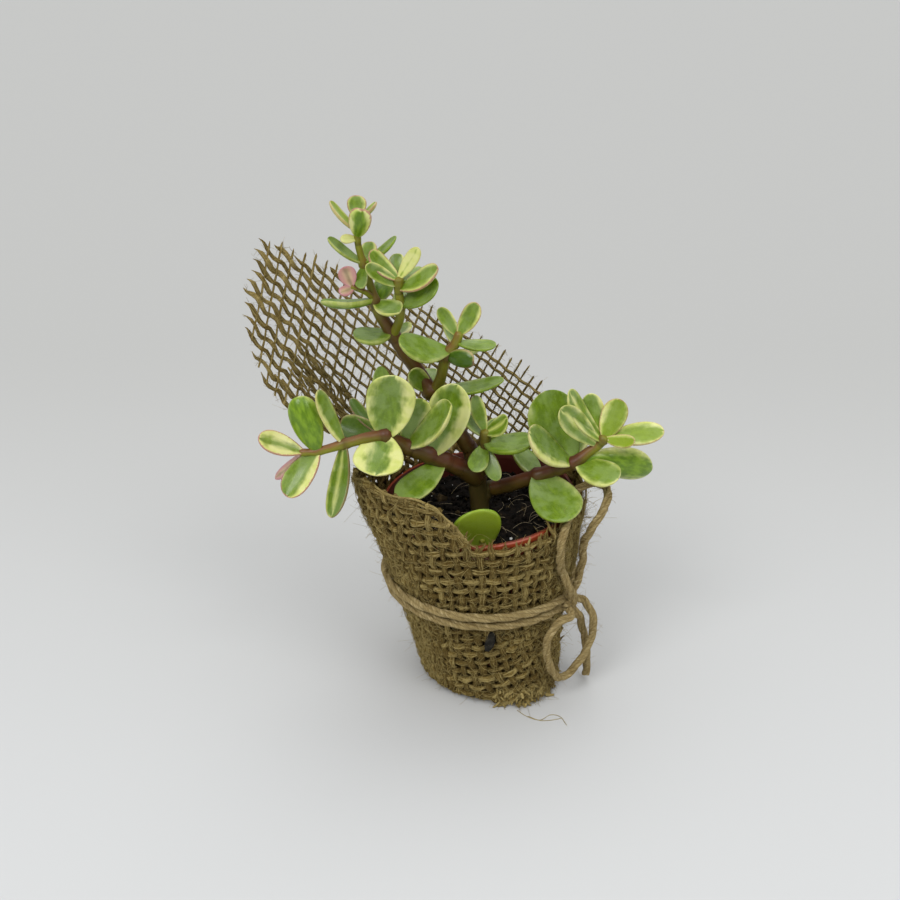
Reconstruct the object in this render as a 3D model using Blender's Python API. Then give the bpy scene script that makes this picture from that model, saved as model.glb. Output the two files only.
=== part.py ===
"""Potted elephant bush: a variegated succulent in a plastic pot, wrapped in burlap and tied with twine.

Blender 4.5, metres, +Z up. The origin lies on the ground under the centre of the pot's rim, and the
front of the object looks towards -Y. Sizes below are in millimetres and are scaled by MM.
"""
import math
import random

import bmesh
import bpy
from mathutils import Matrix, Vector

MM = 0.001
GAP = 0.3                   # clearance between pieces that touch

# Pot and soil
POT_HEIGHT = 65.0
POT_RIM_RADIUS = 33.0
POT_BASE_RADIUS = 22.5
POT_WALL = 1.2
POT_LIP = 0.5               # how far the rolled rim stands proud
POT_TILT = 4.0              # degrees, the top leans to the left on the bunched cloth
POT_FOOT = (4.6, 0.0, 3.9)  # centre of the pot's underside
DRAIN_RADIUS = 2.5
DRAIN_CIRCLE = 13.0
SOIL_DEPTH = 7.0            # soil surface below the rim
SOIL_BUMPS = 0.7

# Burlap
CLOTH = 1.8                 # thickness of the wrap
CLOTH_FLOOR = 1.9           # thickness under the pot
CLOTH_SLACK = 0.55          # between the pot's rim and the cloth
RIM_Z = 68.0                # height of the rim's centre
WRAP_SIDES = 36
WRAP_LEVELS = (0.0, 0.16, 0.34, 0.54, 0.72, 0.86, 1.0)
# Upper edge of the wrap: angle in degrees from +X, height
WRAP_EDGE = ((-180, 78.0), (-157, 81.0), (-142, 81.0), (-125, 82.5), (-113, 82.0), (-103, 76.0),
             (-96, 69.0),
             (-88, 67.0), (-62, 66.0), (-51, 68.5), (-40, 70.0), (-25, 70.5), (-10, 72.5), (4, 76.0),
             (25, 73.0),
             (50, 70.0), (150, 70.0), (165, 74.0), (180, 78.0))
# Outline of the standing corner in the plane of x and z
FLAP_OUTLINE = ((-70, 151), (-40, 133), (-10, 116), (19, 99), (31, 84), (34, 67), (-36, 67), (-42, 78),
                (-53, 88), (-66, 101), (-73, 116), (-75, 134))
FLAP_MIDDLE = (-20.0, 100.0)
FLAP_BACK = 38.5            # how far back its middle stands
FLAP_REACH = 120.0
FLAP_PITCH = 11.0           # larger than life, so that the net stays light
FLAP_BAR = 3.0
FLAP_THICK = 2.0
FLAP_STEP = 3.0
FLAP_SHORTEST = 5           # in steps
SLANT_WEFT = -43.0          # degrees in that plane, the yarns that end in the frayed left edge
SLANT_WARP = 70.0           # degrees, the yarns that end in the upper edge

# Twine
TWINE = 2.8                 # diameter
TURN_SEGMENTS = 36
TURN_STEP = 3.8
TURN_Z = 41.5               # height of the upper turn
TURN_DROP = 3.5             # the turns sink towards the right
KNOT_ANGLE = -30.0
KNOT_SIZE = (2.4, 4.0, 3.6)  # half sizes outwards, along the turns and upwards
# Free twine: the way it leaves the knot (outwards, along the turns, upwards), the points that it passes
# and the way it comes back
TWINE_STARTS = {
    "twine_loop_upper": (0.36, -0.53, 0.77),
    "twine_loop_lower": (0.5, 0.8, -0.3),
    "twine_tail": (0.6, 0.05, -0.8),
}
TWINE_ROUTES = {
    "twine_loop_upper": ((30.0, -23.0, 46.6), (27.0, -23.3, 53.6), (25.8, -27.7, 61.0), (25.8, -28.6, 66.5),
                         (26.6, -26.6, 70.4), (28.1, -23.0, 72.4), (29.4, -17.6, 72.3), (30.1, -9.9, 73.5),
                         (32.6, -6.4, 74.6), (36.3, -5.6, 76.2), (40.0, -7.5, 77.4), (42.0, -11.9, 77.3),
                         (40.7, -17.4, 74.8), (36.3, -20.0, 67.5), (34.5, -16.5, 59.6), (34.8, -14.4, 51.4)),
    "twine_loop_lower": ((37.6, -15.0, 34.0), (39.4, -16.0, 30.0), (39.8, -16.2, 24.7), (38.6, -17.2, 19.5),
                         (35.8, -18.8, 13.8), (32.0, -20.8, 9.8), (28.0, -23.2, 9.4), (24.8, -25.6, 15.5),
                         (23.0, -26.4, 23.6), (23.8, -26.2, 29.8), (27.2, -24.2, 33.6)),
    "twine_tail": ((35.2, -14.2, 28.6), (36.9, -12.8, 21.6), (38.3, -12.5, 15.2), (39.0, -12.2, 8.2),
                   (39.0, -12.0, 2.2)),
}
TWINE_RETURNS = {
    "twine_loop_upper": (0.23, 0.37, 0.9),
    "twine_loop_lower": (0.55, -0.75, -0.35),
}

# Directions that the upper side of a leaf looks in
FACES = {
    "front": (0.0, -0.87, 0.5),
    "back": (0.0, 0.87, -0.2),
    "up": (0.0, -0.1, 1.0),
    "level": (0.0, 0.25, 0.97),
    "upfront": (0.0, -0.55, 0.83),
    "upback": (0.0, 0.5, 0.86),
    "leftup": (-0.75, -0.15, 0.65),
    "rightup": (0.75, -0.15, 0.65),
    "leftfront": (-0.55, -0.75, 0.35),
    "rightfront": (0.65, -0.65, 0.4),
}

# Leaf form: place along the blade, half width and half thickness as shares of the full values
LEAF_RINGS = ((0.0, 0.2, 0.7), (0.16, 0.58, 0.95), (0.38, 0.92, 1.0), (0.64, 1.0, 0.95), (0.88, 0.68, 0.65))
LEAF_SECTION = ((1.0, 0.0), (0.5, 0.6), (-0.5, 0.6), (-1.0, 0.0), (-0.5, -1.0), (0.5, -1.0))
LEAF_CUP = 0.14
LEAF_BEND = 0.07
LEAF_THICKNESS = 0.22       # of the width
LEAF_THINNEST = 1.4
LEAF_THICKEST = 2.6
STEM_SIDES = 8
STEM_STEP = 4.5

# Every shoot is a route of (x, y, z, radius) and leaves of (place along it, tip, width, facing)
TALL_STEM = (
    (((-3.5, 1.5, 86.5, 2.7), (-6.5, 1, 92, 2.6), (-11, 1, 100, 2.6), (-16, 2, 107, 2.5),
      (-20, 3, 113.5, 2.4),
      (-24.5, 4, 120, 2.3), (-30, 5, 129, 2.1), (-32.5, 5, 133.5, 1.8), (-33.5, 5, 138, 1.4),
      (-35, 6, 143, 1.25), (-37.5, 6, 152.5, 1.1), (-38, 6, 157, 1.0), (-38, 6, 164, 0.8)),
     ((0.99, (-38, 9, 169), 6, "front"), (0.92, (-36, 1, 167), 7, "back"),
      (0.94, (-46, 6, 168), 5, "rightup"),
      (0.98, (-32, 9, 167), 4, "leftup"), (0.91, (-43, 3, 157), 3, "front"),
      (0.82, (-47, 4, 157), 5.5, "rightup"), (0.82, (-26, 6, 157), 5.5, "leftup"),
      (0.81, (-37, -2, 143), 4, "front"), (0.81, (-35, 14, 153), 6, "upback"),
      (0.68, (-50, 2, 137), 10, "level"), (0.67, (-25, -7, 137), 7.5, "upfront"),
      (0.67, (-29, 15, 141), 6.5, "back"), (0.54, (-40, 1, 126), 11, "up"),
      (0.52, (-25, 18, 124), 8, "upback"), (0.28, (-22, -3, 116), 6.5, "front"),
      (0.27, (8, 1, 111), 8, "up"), (0.27, (-16, 17, 108), 8, "upback"))),
    (((-33.5, 5, 137, 0.9), (-35.5, 2.5, 140, 0.9), (-37.5, 1, 141.5, 0.8), (-40, 0, 143, 0.7)),
     ((0.98, (-42, 1, 149), 5.6, "front"), (0.9, (-43.5, -3, 142), 3.4, "front"))),
    (((-28, 4.5, 124.5, 1.6), (-25.5, 2, 131, 1.5), (-25, 2, 136, 1.45), (-25.5, 2, 141, 1.35),
      (-25.5, 2, 145, 1.1)),
     ((0.98, (-34, 0, 154), 6.5, "upfront"), (0.9, (-35, -4, 151), 5, "front"),
      (0.98, (-19, 1, 155), 4.6, "front"),
      (0.95, (-18, 9, 146), 5, "up"), (0.84, (-13, -4, 150), 8, "upfront"),
      (0.6, (-13, -3, 145), 9, "upfront"),
      (0.98, (-26, 8, 151), 5, "front"), (0.55, (-24, 14, 138), 7, "upback"))),
    (((-15, 1.5, 106, 1.9), (-12.5, 0, 112, 1.8), (-11.5, -1, 117.5, 1.7), (-10, -2, 122, 1.6),
      (-8, -2, 124.5, 1.4), (-6.5, -2, 128.5, 1.1)),
     ((0.71, (-25, -12, 129), 11, "upfront"), (0.97, (-1, -1, 138), 6, "front"),
      (0.95, (-13, 0, 136), 4.6, "front"),
      (0.82, (-11, 7, 131), 4, "front"), (0.87, (5, -4, 125), 7, "up"), (0.62, (-2, -9, 122), 6, "back"),
      (0.59, (-17, 7, 119), 6, "back"), (0.66, (-1, 10, 118), 8, "upback"))),
)
LEFT_STEM = (
    (((-6, -4, 81.5, 3.1), (-11, -6, 85, 3.0), (-17.5, -8, 89, 2.8), (-23.5, -9, 92, 2.5),
      (-27.5, -11, 95.5, 2.1),
      (-30.5, -12, 97.5, 1.9), (-36.5, -14, 97.5, 1.8), (-43, -15, 96, 1.6), (-51, -17, 94.5, 1.3),
      (-57, -17, 94, 0.9)),
     ((0.52, (-26, -16, 120), 15.5, "front"), (0.53, (-33, -25, 90), 16, "upfront"),
      (0.53, (-45, -4, 98), 8.5, "front"), (0.52, (-42, 2, 104), 5, "up"),
      (0.51, (-32, 3, 115), 7, "front"),
      (0.75, (-50, -18, 116), 6, "rightfront"), (0.75, (-47, -27, 76), 8, "leftfront"),
      (0.9, (-57, -14, 112), 10, "back"), (0.98, (-69, -20, 101), 8, "upfront"),
      (0.9, (-61, -24, 82), 9.5, "upfront"),
      (0.97, (-67, -8, 80), 5, "upfront"), (0.36, (-18, -7, 108), 10, "front"),
      (0.22, (-7, -7, 113), 14, "front"),
      (0.36, (-9, -20, 112), 10.5, "upfront"), (0.12, (-26, -24, 81), 10, "upfront"),
      (0.3, (-27, 7, 92), 8, "upback"))),
)
CENTRE_STEM = (
    (((2.5, -2.5, 84.5, 1.9), (2, -3, 89.5, 1.7), (2, -3.5, 95, 1.3)),
     ((0.95, (-1.5, 0, 106), 5, "front"), (0.9, (9, -7, 101), 7, "upfront"), (0.78, (-6, 2, 99), 5, "up"),
      (0.58, (17, -10, 93.5), 13, "up"), (0.5, (-2, -13, 85), 6.6, "front"),
      (0.45, (6, -12, 81), 5.4, "front"),
      (0.73, (8, 12, 92), 8, "upback"))),
)
RIGHT_STEM = (
    (((5, 0, 71.5, 2.7), (10.5, -2, 74, 2.6), (17, -4, 77.5, 2.5), (24, -6, 81.5, 2.3), (31, -8, 85.5, 2.0),
      (35.5, -8, 89.5, 1.7), (38.5, -8, 92, 1.4), (40.5, -8, 95, 1.1)),
     ((0.67, (21, -1, 108), 16.5, "front"), (0.68, (15, -17, 101), 11.5, "upfront"),
      (0.71, (44, -19, 85.5), 10.5, "upfront"), (0.75, (58, -2, 80), 11, "back"),
      (0.39, (27.6, -28, 75.6), 16, "upfront"),
      (0.92, (25, -14, 108), 8.5, "front"), (0.96, (28, -9, 112), 7.5, "rightfront"),
      (0.97, (35, -3, 108), 8, "front"), (0.99, (45, -5, 107), 8.5, "front"),
      (0.99, (59, -10, 98), 8.5, "upfront"),
      (0.98, (49, -15, 97), 4.5, "front"), (0.57, (35, 11, 88), 10, "upback"),
      (0.38, (14, 10, 82), 9, "upback"))),
)
TRUNK_ROUTE = ((0.8, 0.0, 50.5, 3.0), (0.8, 0.0, 62.0, 3.0), (0.2, -0.3, 70.0, 3.2), (-0.5, -0.8, 77.0, 3.4))
TRUNK_HOLE = 3.4
SOIL_LEAF_ROUTE = ((2.0, -19.0, 54.5, 1.0), (1.2, -22.4, 62.6, 1.0), (0.8, -24.0, 66.0, 0.9))
SOIL_LEAF = (0.7, (-2.0, -33.0, 81.5), 16.0, "front")


def clear_scene():
    for obj in list(bpy.data.objects):
        bpy.data.objects.remove(obj, do_unlink=True)


def material(name, colour, roughness):
    made = bpy.data.materials.new(name)
    made.use_nodes = True
    shader = made.node_tree.nodes["Principled BSDF"]
    shader.inputs["Base Color"].default_value = (*colour, 1.0)
    shader.inputs["Roughness"].default_value = roughness
    shader.inputs["Metallic"].default_value = 0.0
    return made


def place(mesh, name, finish, smooth=True):
    """Links a mesh, given in millimetres, as one named object."""
    mesh.transform(Matrix.Scale(MM, 4))
    mesh.materials.append(finish)
    obj = bpy.data.objects.new(name, mesh)
    bpy.context.collection.objects.link(obj)
    if smooth:
        mesh.shade_smooth()
        mesh.set_sharp_from_angle(angle=math.radians(40))
    return obj


def mesh_from(vertices, faces, name):
    mesh = bpy.data.meshes.new(name)
    mesh.from_pydata([tuple(v) for v in vertices], [], faces)
    bm = bmesh.new()
    bm.from_mesh(mesh)
    bmesh.ops.recalc_face_normals(bm, faces=bm.faces)
    bmesh.ops.triangulate(bm, faces=bm.faces)
    bm.to_mesh(mesh)
    bm.free()
    return mesh


def ring_faces(rings, sides, closed=False):
    """Quads between successive rings of vertices, each ring having the same number of sides."""
    faces = []
    for ring in range(rings if closed else rings - 1):
        here, there = ring * sides, (ring + 1) % rings * sides
        for k in range(sides):
            after = (k + 1) % sides
            faces.append((here + k, here + after, there + after, there + k))
    return faces


def smooth_route(points, step):
    """Points about one step apart on a smooth curve through the given ones, of any dimension."""
    rows = [Vector(p[:3]) for p in points]
    extra = [p[3] if len(p) > 3 else 0.0 for p in points]
    route = []
    for i in range(len(rows) - 1):
        before, after = rows[max(i - 1, 0)], rows[min(i + 2, len(rows) - 1)]
        count = max(1, round((rows[i + 1] - rows[i]).length / step))
        for k in range(count):
            t = k / count
            a = 2 * rows[i]
            b = rows[i + 1] - before
            c = 2 * before - 5 * rows[i] + 4 * rows[i + 1] - after
            d = 3 * rows[i] - before - 3 * rows[i + 1] + after
            point = 0.5 * (a + b * t + c * t * t + d * t ** 3)
            route.append((point, extra[i] + (extra[i + 1] - extra[i]) * t))
    route.append((rows[-1], extra[-1]))
    return route


def tube_mesh(route, sides, name, closed=False):
    """A tube along (point, radius) pairs, its frame carried along without twist."""
    points = [p for p, _ in route]
    count = len(points)
    tangents = []
    for i in range(count):
        before = points[(i - 1) % count] if closed or i else points[0]
        after = points[(i + 1) % count] if closed or i < count - 1 else points[-1]
        tangents.append((after - before).normalized())
    side = tangents[0].orthogonal().normalized()
    vertices = []
    for point, radius, tangent in zip(points, [r for _, r in route], tangents):
        side = (side - tangent * side.dot(tangent)).normalized()
        up = tangent.cross(side)
        for k in range(sides):
            angle = 2 * math.pi * k / sides
            vertices.append(point + (side * math.cos(angle) + up * math.sin(angle)) * radius)
    faces = ring_faces(count, sides, closed)
    if not closed:
        faces.append(tuple(range(sides)))
        faces.append(tuple((count - 1) * sides + k for k in range(sides)))
    return mesh_from(vertices, faces, name)


def leaf_mesh(base, tip, width, facing, name):
    """A fleshy blade, wedge-shaped at its stalk and round at its tip, a little cupped."""
    axis = tip - base
    normal = Vector(FACES[facing])
    normal = (normal - axis * normal.dot(axis) / axis.length_squared).normalized()
    side = axis.cross(normal).normalized()
    thickness = min(max(width * LEAF_THICKNESS, LEAF_THINNEST), LEAF_THICKEST)
    vertices = []
    for place_on, half, thick in LEAF_RINGS:
        middle = base + axis * place_on + normal * (LEAF_BEND * axis.length * 4 * place_on * (place_on - 1))
        for across, over in LEAF_SECTION:
            reach = across * half * width / 2
            lift = over * thick * thickness / 2 + LEAF_CUP * half * width / 2 * across * across
            vertices.append(middle + side * reach + normal * lift)
    faces = ring_faces(len(LEAF_RINGS), len(LEAF_SECTION))
    count = len(LEAF_SECTION)
    faces.append(tuple(range(count)))
    vertices.append(tip)
    last = (len(LEAF_RINGS) - 1) * count
    for k in range(count):
        faces.append((last + k, last + (k + 1) % count, len(vertices) - 1))
    return mesh_from(vertices, faces, name)


def union(name, meshes, finish, solver="MANIFOLD"):
    """Fuses closed meshes into one named object."""
    collection = bpy.data.collections.new(name + "_pieces")
    bpy.context.scene.collection.children.link(collection)
    first = place(meshes[0], name, finish)
    for mesh in meshes[1:]:
        mesh.transform(Matrix.Scale(MM, 4))
        collection.objects.link(bpy.data.objects.new("piece", mesh))
    joined = first.modifiers.new("union", "BOOLEAN")
    joined.operation = "UNION"
    joined.operand_type = "COLLECTION"
    joined.collection = collection
    joined.solver = solver
    bpy.context.view_layer.update()
    fused = bpy.data.meshes.new_from_object(first.evaluated_get(bpy.context.evaluated_depsgraph_get()))
    first.modifiers.remove(joined)
    first.data = fused
    for obj in list(collection.objects):
        bpy.data.objects.remove(obj, do_unlink=True)
    bpy.data.collections.remove(collection)
    return first


def place_along(route, share):
    """The point at a share of the way along a route of (point, radius) pairs."""
    points = [p for p, _ in route]
    lengths = [(b - a).length for a, b in zip(points, points[1:])]
    left = share * sum(lengths)
    for a, b, length in zip(points, points[1:], lengths):
        if left <= length:
            return a + (b - a) * (left / length)
        left -= length
    return points[-1]


def shoot_meshes(shoots, name):
    """The stems and leaves of one leafy stem, ready to be fused."""
    stems, leaves = [], []
    for number, (rows, blades) in enumerate(shoots):
        route = smooth_route(rows, STEM_STEP)
        stems.append(tube_mesh(route, STEM_SIDES, f"{name}_stem_{number}"))
        for blade, (share, tip, width, facing) in enumerate(blades):
            base = place_along(route, share)
            leaves.append(leaf_mesh(base, Vector(tip), width, facing, f"{name}_leaf_{number}_{blade}"))
    return stems + leaves


def seat_of(shoots):
    """Where an arm of the trunk ends, just short of the stem that it carries, and its direction."""
    route = smooth_route(shoots[0][0], STEM_STEP)
    start, radius = route[0]
    direction = (route[1][0] - start).normalized()
    return start - direction * GAP, direction, radius


def pot_frame():
    """Stands the pot, modelled upright at the origin, on its foot and tilts it."""
    return Matrix.Translation(POT_FOOT) @ Matrix.Rotation(math.radians(-POT_TILT), 4, "Y")


def pot_radius(height):
    """Outer radius of the pot's wall under the rim."""
    return POT_BASE_RADIUS + (POT_RIM_RADIUS - POT_LIP - POT_BASE_RADIUS) * height / POT_HEIGHT


def turned(profile, sides, name):
    """A solid turned about Z from an open profile of (radius, height) that starts and ends on the axis."""
    vertices = []
    for radius, height in profile[1:-1]:
        for k in range(sides):
            angle = 2 * math.pi * k / sides
            vertices.append((radius * math.cos(angle), radius * math.sin(angle), height))
    rings = len(profile) - 2
    faces = ring_faces(rings, sides)
    for ring, (_, height) in ((0, profile[0]), (rings - 1, profile[-1])):
        vertices.append((0.0, 0.0, height))
        for k in range(sides):
            faces.append((ring * sides + k, ring * sides + (k + 1) % sides, len(vertices) - 1))
    return mesh_from(vertices, faces, name)


def cutter(mesh, name, frame):
    """A hidden tool for a Boolean cut."""
    mesh.transform(frame)
    mesh.transform(Matrix.Scale(MM, 4))
    obj = bpy.data.objects.new(name, mesh)
    bpy.context.collection.objects.link(obj)
    obj.hide_render = True
    obj.display_type = "WIRE"
    return obj


def cut(obj, tool):
    """Takes a tool out of an object."""
    made = obj.modifiers.new(tool.name, "BOOLEAN")
    made.operation = "DIFFERENCE"
    made.object = tool


def build_pot():
    floor = POT_WALL
    profile = [(0.0, 0.0), (POT_BASE_RADIUS - 1.0, 0.0), (POT_BASE_RADIUS, 1.0),
               (pot_radius(POT_HEIGHT - 2.0), POT_HEIGHT - 2.0), (POT_RIM_RADIUS, POT_HEIGHT - 1.6),
               (POT_RIM_RADIUS, POT_HEIGHT - 0.4), (POT_RIM_RADIUS - 0.4, POT_HEIGHT),
               (POT_RIM_RADIUS - POT_WALL, POT_HEIGHT),
               (pot_radius(POT_HEIGHT - 2.0) - POT_WALL, POT_HEIGHT - 2.0),
               (pot_radius(floor) - POT_WALL, floor), (0.0, floor)]
    mesh = turned(profile, 36, "pot")
    mesh.transform(pot_frame())
    pot = place(mesh, "pot", material("pot_plastic", (0.36, 0.06, 0.02), 0.45))
    for k in range(4):
        angle = math.pi * (k / 2 + 0.25)
        hole = turned([(0.0, -1.0), (DRAIN_RADIUS, -1.0), (DRAIN_RADIUS, 2 * POT_WALL), (0.0, 2 * POT_WALL)],
                      12, f"drain_{k}")
        shift = Matrix.Translation((DRAIN_CIRCLE * math.cos(angle), DRAIN_CIRCLE * math.sin(angle), 0.0))
        cut(pot, cutter(hole, f"drain_cutter_{k}", pot_frame() @ shift))


def build_soil():
    draw = random.Random(7)
    sides = 36
    low, top = POT_WALL + GAP, POT_HEIGHT - SOIL_DEPTH
    edge_low = pot_radius(low) - POT_WALL - GAP
    edge_top = pot_radius(top) - POT_WALL - GAP
    profile = [(0.0, low), (edge_low, low), (edge_top, top), (edge_top * 0.75, top), (edge_top * 0.5, top),
               (edge_top * 0.25, top), (0.0, top)]
    mesh = turned(profile, sides, "soil")
    for vertex in mesh.vertices:
        if vertex.co.z > top - 0.01:
            vertex.co.z += draw.uniform(-SOIL_BUMPS, SOIL_BUMPS)
    mesh.transform(pot_frame())
    soil = place(mesh, "soil", material("potting_soil", (0.012, 0.010, 0.008), 0.95))
    for name, route, radius in (("trunk_hole", TRUNK_ROUTE, TRUNK_HOLE),
                                ("leaf_hole", SOIL_LEAF_ROUTE, SOIL_LEAF_ROUTE[0][3] + GAP + 0.1)):
        points = [Vector(row[:3]) for row in route[:2]]
        along = (points[1] - points[0]).normalized()
        hole = tube_mesh([(points[0] - along * GAP, radius), (points[1] + along * 8.0, radius)], 12, name)
        cut(soil, cutter(hole, name + "_cutter", Matrix()))


def build_plant():
    bark = material("bark", (0.10, 0.05, 0.03), 0.6)
    leaf = material("leaf", (0.16, 0.30, 0.07), 0.4)
    trunk = [tube_mesh(smooth_route(TRUNK_ROUTE, 6.0), 10, "trunk_main")]
    for number, shoots in enumerate((TALL_STEM, LEFT_STEM, CENTRE_STEM, RIGHT_STEM)):
        seat, direction, radius = seat_of(shoots)
        fork = Vector((0.3, -0.3, 66.0)) if shoots is RIGHT_STEM else Vector((-0.5, -0.8, 76.0))
        route = smooth_route([(*fork, radius), (*(seat - direction * 2.0), radius), (*seat, radius)], 3.0)
        trunk.append(tube_mesh(route, 10, f"arm_{number}"))
    union("trunk", trunk, bark)
    for name, shoots in (("leafy_stem_tall", TALL_STEM), ("leafy_stem_left", LEFT_STEM),
                         ("leafy_stem_centre", CENTRE_STEM), ("leafy_stem_right", RIGHT_STEM)):
        union(name, shoot_meshes(shoots, name), leaf)
    union("soil_leaf", shoot_meshes(((SOIL_LEAF_ROUTE, (SOIL_LEAF,)),), "soil_leaf"), leaf)


def between(table, value):
    """Straight-line reading of a table of (place, value) rows."""
    for (a, low), (b, high) in zip(table, table[1:]):
        if a <= value <= b:
            return low + (high - low) * (value - a) / (b - a)
    return table[-1][1]


def bump(angle, middle, spread):
    """A smooth swell of height 1 about one side of the pot, angles in degrees from +X."""
    off = (angle - middle + 180) % 360 - 180
    return math.exp(-(off / spread) ** 2)


def wrap_radius(angle, height):
    """Outer radius of the cloth about its own centre line, which follows the pot's axis."""
    rise = min(max((height - POT_FOOT[2]) / POT_HEIGHT, 0.0), 1.0)
    tight = POT_BASE_RADIUS + (POT_RIM_RADIUS - POT_BASE_RADIUS) * rise + CLOTH + CLOTH_SLACK
    left = 6.5 * bump(angle, 187, 38) * (height / 78) ** 2.6
    low = 5.5 * bump(angle, -58, 32) * max(1 - height / 28, 0) ** 1.5
    back = 2.6 * bump(angle, 95, 40) * rise
    return tight + left + low + back


def wrap_point(angle, height, inwards):
    """A point of the wrap, this far inwards of its outer face."""
    turn = math.radians(angle)
    radius = wrap_radius(angle, height) - inwards
    centre = POT_FOOT[0] * (1 - min(height / RIM_Z, 1.0))
    return Vector((centre + radius * math.cos(turn), radius * math.sin(turn), height))


def flap_point(x, z):
    """The standing corner bulges backwards, more sharply where it nears the pot."""
    return Vector((x, FLAP_BACK - 0.0165 * (RIM_Z / z) ** 1.2 * (x + 2.0 + 0.17 * (z - RIM_Z)) ** 2, z))


def inside(x, z):
    """Says whether a point lies within the outline of the standing corner."""
    odd = False
    for (ax, az), (bx, bz) in zip(FLAP_OUTLINE, FLAP_OUTLINE[1:] + FLAP_OUTLINE[:1]):
        if (az > z) != (bz > z) and x < ax + (bx - ax) * (z - az) / (bz - az):
            odd = not odd
    return odd


def bar_mesh(points, width, thick, name):
    """A flat bar that follows the standing corner."""
    vertices = []
    for i, point in enumerate(points):
        along = (points[min(i + 1, len(points) - 1)] - points[max(i - 1, 0)]).normalized()
        dx = flap_point(point.x + 1, point.z) - flap_point(point.x - 1, point.z)
        dz = flap_point(point.x, point.z + 1) - flap_point(point.x, point.z - 1)
        normal = dx.cross(dz).normalized()
        side = normal.cross(along).normalized() * (width / 2)
        deep = normal * (thick / 2)
        vertices += [point + side + deep, point - side + deep, point - side - deep, point + side - deep]
    faces = ring_faces(len(points), 4)
    faces += [(0, 1, 2, 3), tuple(4 * (len(points) - 1) + k for k in range(4))]
    return mesh_from(vertices, faces, name)


def flap_bars():
    """Flat bars both ways across the standing corner, each where it lies within the outline."""
    bars = []
    rows = math.floor(FLAP_REACH / FLAP_PITCH)
    steps = math.floor(FLAP_REACH / FLAP_STEP)
    for slant, thick in ((SLANT_WEFT, FLAP_THICK), (SLANT_WARP, FLAP_THICK - 0.4)):
        along = Vector((math.cos(math.radians(slant)), math.sin(math.radians(slant))))
        across = Vector((-along.y, along.x))
        for row in range(-rows, rows + 1):
            start = Vector(FLAP_MIDDLE) + across * (row * FLAP_PITCH)
            run = [start + along * (step * FLAP_STEP) for step in range(-steps, steps + 1)]
            run = [p for p in run if inside(p.x, p.y)]
            if len(run) > FLAP_SHORTEST:
                picked = run[::3] if len(run) % 3 == 1 else run[::3] + run[-1:]
                points = [flap_point(p.x, p.y) for p in picked]
                bars.append(bar_mesh(points, FLAP_BAR, thick, f"bar_{slant}_{row}"))
    return bars


def build_burlap():
    vertices = []
    for inwards, levels in ((0.0, WRAP_LEVELS), (CLOTH, WRAP_LEVELS[::-1])):
        for level in levels:
            for k in range(WRAP_SIDES):
                angle = -180 + 360 * k / WRAP_SIDES
                low = CLOTH_FLOOR if inwards else 0.0
                height = low + (between(WRAP_EDGE, angle) - low) * level
                vertices.append(wrap_point(angle, height, inwards))
    rings = 2 * len(WRAP_LEVELS)
    faces = ring_faces(rings, WRAP_SIDES)
    faces.append(tuple(range(WRAP_SIDES)))
    faces.append(tuple((rings - 1) * WRAP_SIDES + k for k in range(WRAP_SIDES)))
    wrap = mesh_from(vertices, faces, "wrap")
    union("burlap", [wrap] + flap_bars(), material("burlap", (0.32, 0.23, 0.10), 0.95))


def turn_height(angle, row):
    """Height of the upper turn, row 0, and of the lower one, row 1."""
    return TURN_Z - row * TURN_STEP - TURN_DROP * bump(angle, 0, 45)


def turn_route(row):
    """One turn of twine round the wrap, just clear of it."""
    route = []
    for k in range(TURN_SEGMENTS):
        angle = 360 * k / TURN_SEGMENTS
        inwards = -(TWINE / 2 + GAP + 0.1)
        route.append((wrap_point(angle, turn_height(angle, row), inwards), TWINE / 2))
    return route


def knot_frame():
    """The knot's own axes: outwards, along the turns and upwards."""
    centre = wrap_point(KNOT_ANGLE, turn_height(KNOT_ANGLE, 0.5), -KNOT_SIZE[0] - GAP)
    return Matrix.Translation(centre) @ Matrix.Rotation(math.radians(KNOT_ANGLE), 4, "Z")


def knot_end(direction):
    """Two points of a cord that meets the knot squarely on this side of it, the nearer one first."""
    heading = Vector(direction).normalized()
    size = Vector(KNOT_SIZE)
    normal = Vector([h / s for h, s in zip(heading, size)]).normalized()
    seat = Vector([h * s for h, s in zip(heading, size)]) + normal * (GAP + 0.05)
    return [knot_frame() @ seat, knot_frame() @ (seat + normal * TWINE)]


def free_twine(name):
    """The smooth route of a loop or of the tail, in points two diameters apart."""
    points = knot_end(TWINE_STARTS[name]) + [Vector(p) for p in TWINE_ROUTES[name]]
    if name in TWINE_RETURNS:
        points += knot_end(TWINE_RETURNS[name])[::-1]
    return [p for p, _ in smooth_route(points, 2 * TWINE)]


def build_twine():
    jute = material("jute_twine", (0.38, 0.27, 0.12), 0.9)
    turns = [tube_mesh(turn_route(row), 6, f"turn_{row}", closed=True) for row in range(2)]
    knot = bmesh.new()
    bmesh.ops.create_icosphere(knot, subdivisions=2, radius=1.0)
    knot_mesh = bpy.data.meshes.new("knot")
    knot.to_mesh(knot_mesh)
    knot.free()
    knot_mesh.transform(knot_frame() @ Matrix.Diagonal((*KNOT_SIZE, 1.0)))
    union("twine_wrap", turns + [knot_mesh], jute)
    for name in TWINE_ROUTES:
        curve = bpy.data.curves.new(name, "CURVE")
        curve.dimensions = "3D"
        curve.bevel_depth = TWINE / 2 * MM
        curve.bevel_resolution = 2
        curve.use_fill_caps = True
        points = free_twine(name)
        spline = curve.splines.new("POLY")
        spline.points.add(len(points) - 1)
        for slot, point in zip(spline.points, points):
            slot.co = (*(point * MM), 1.0)
        curve.materials.append(jute)
        bpy.context.collection.objects.link(bpy.data.objects.new(name, curve))


clear_scene()
build_pot()
build_soil()
build_plant()
build_burlap()
build_twine()
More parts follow.
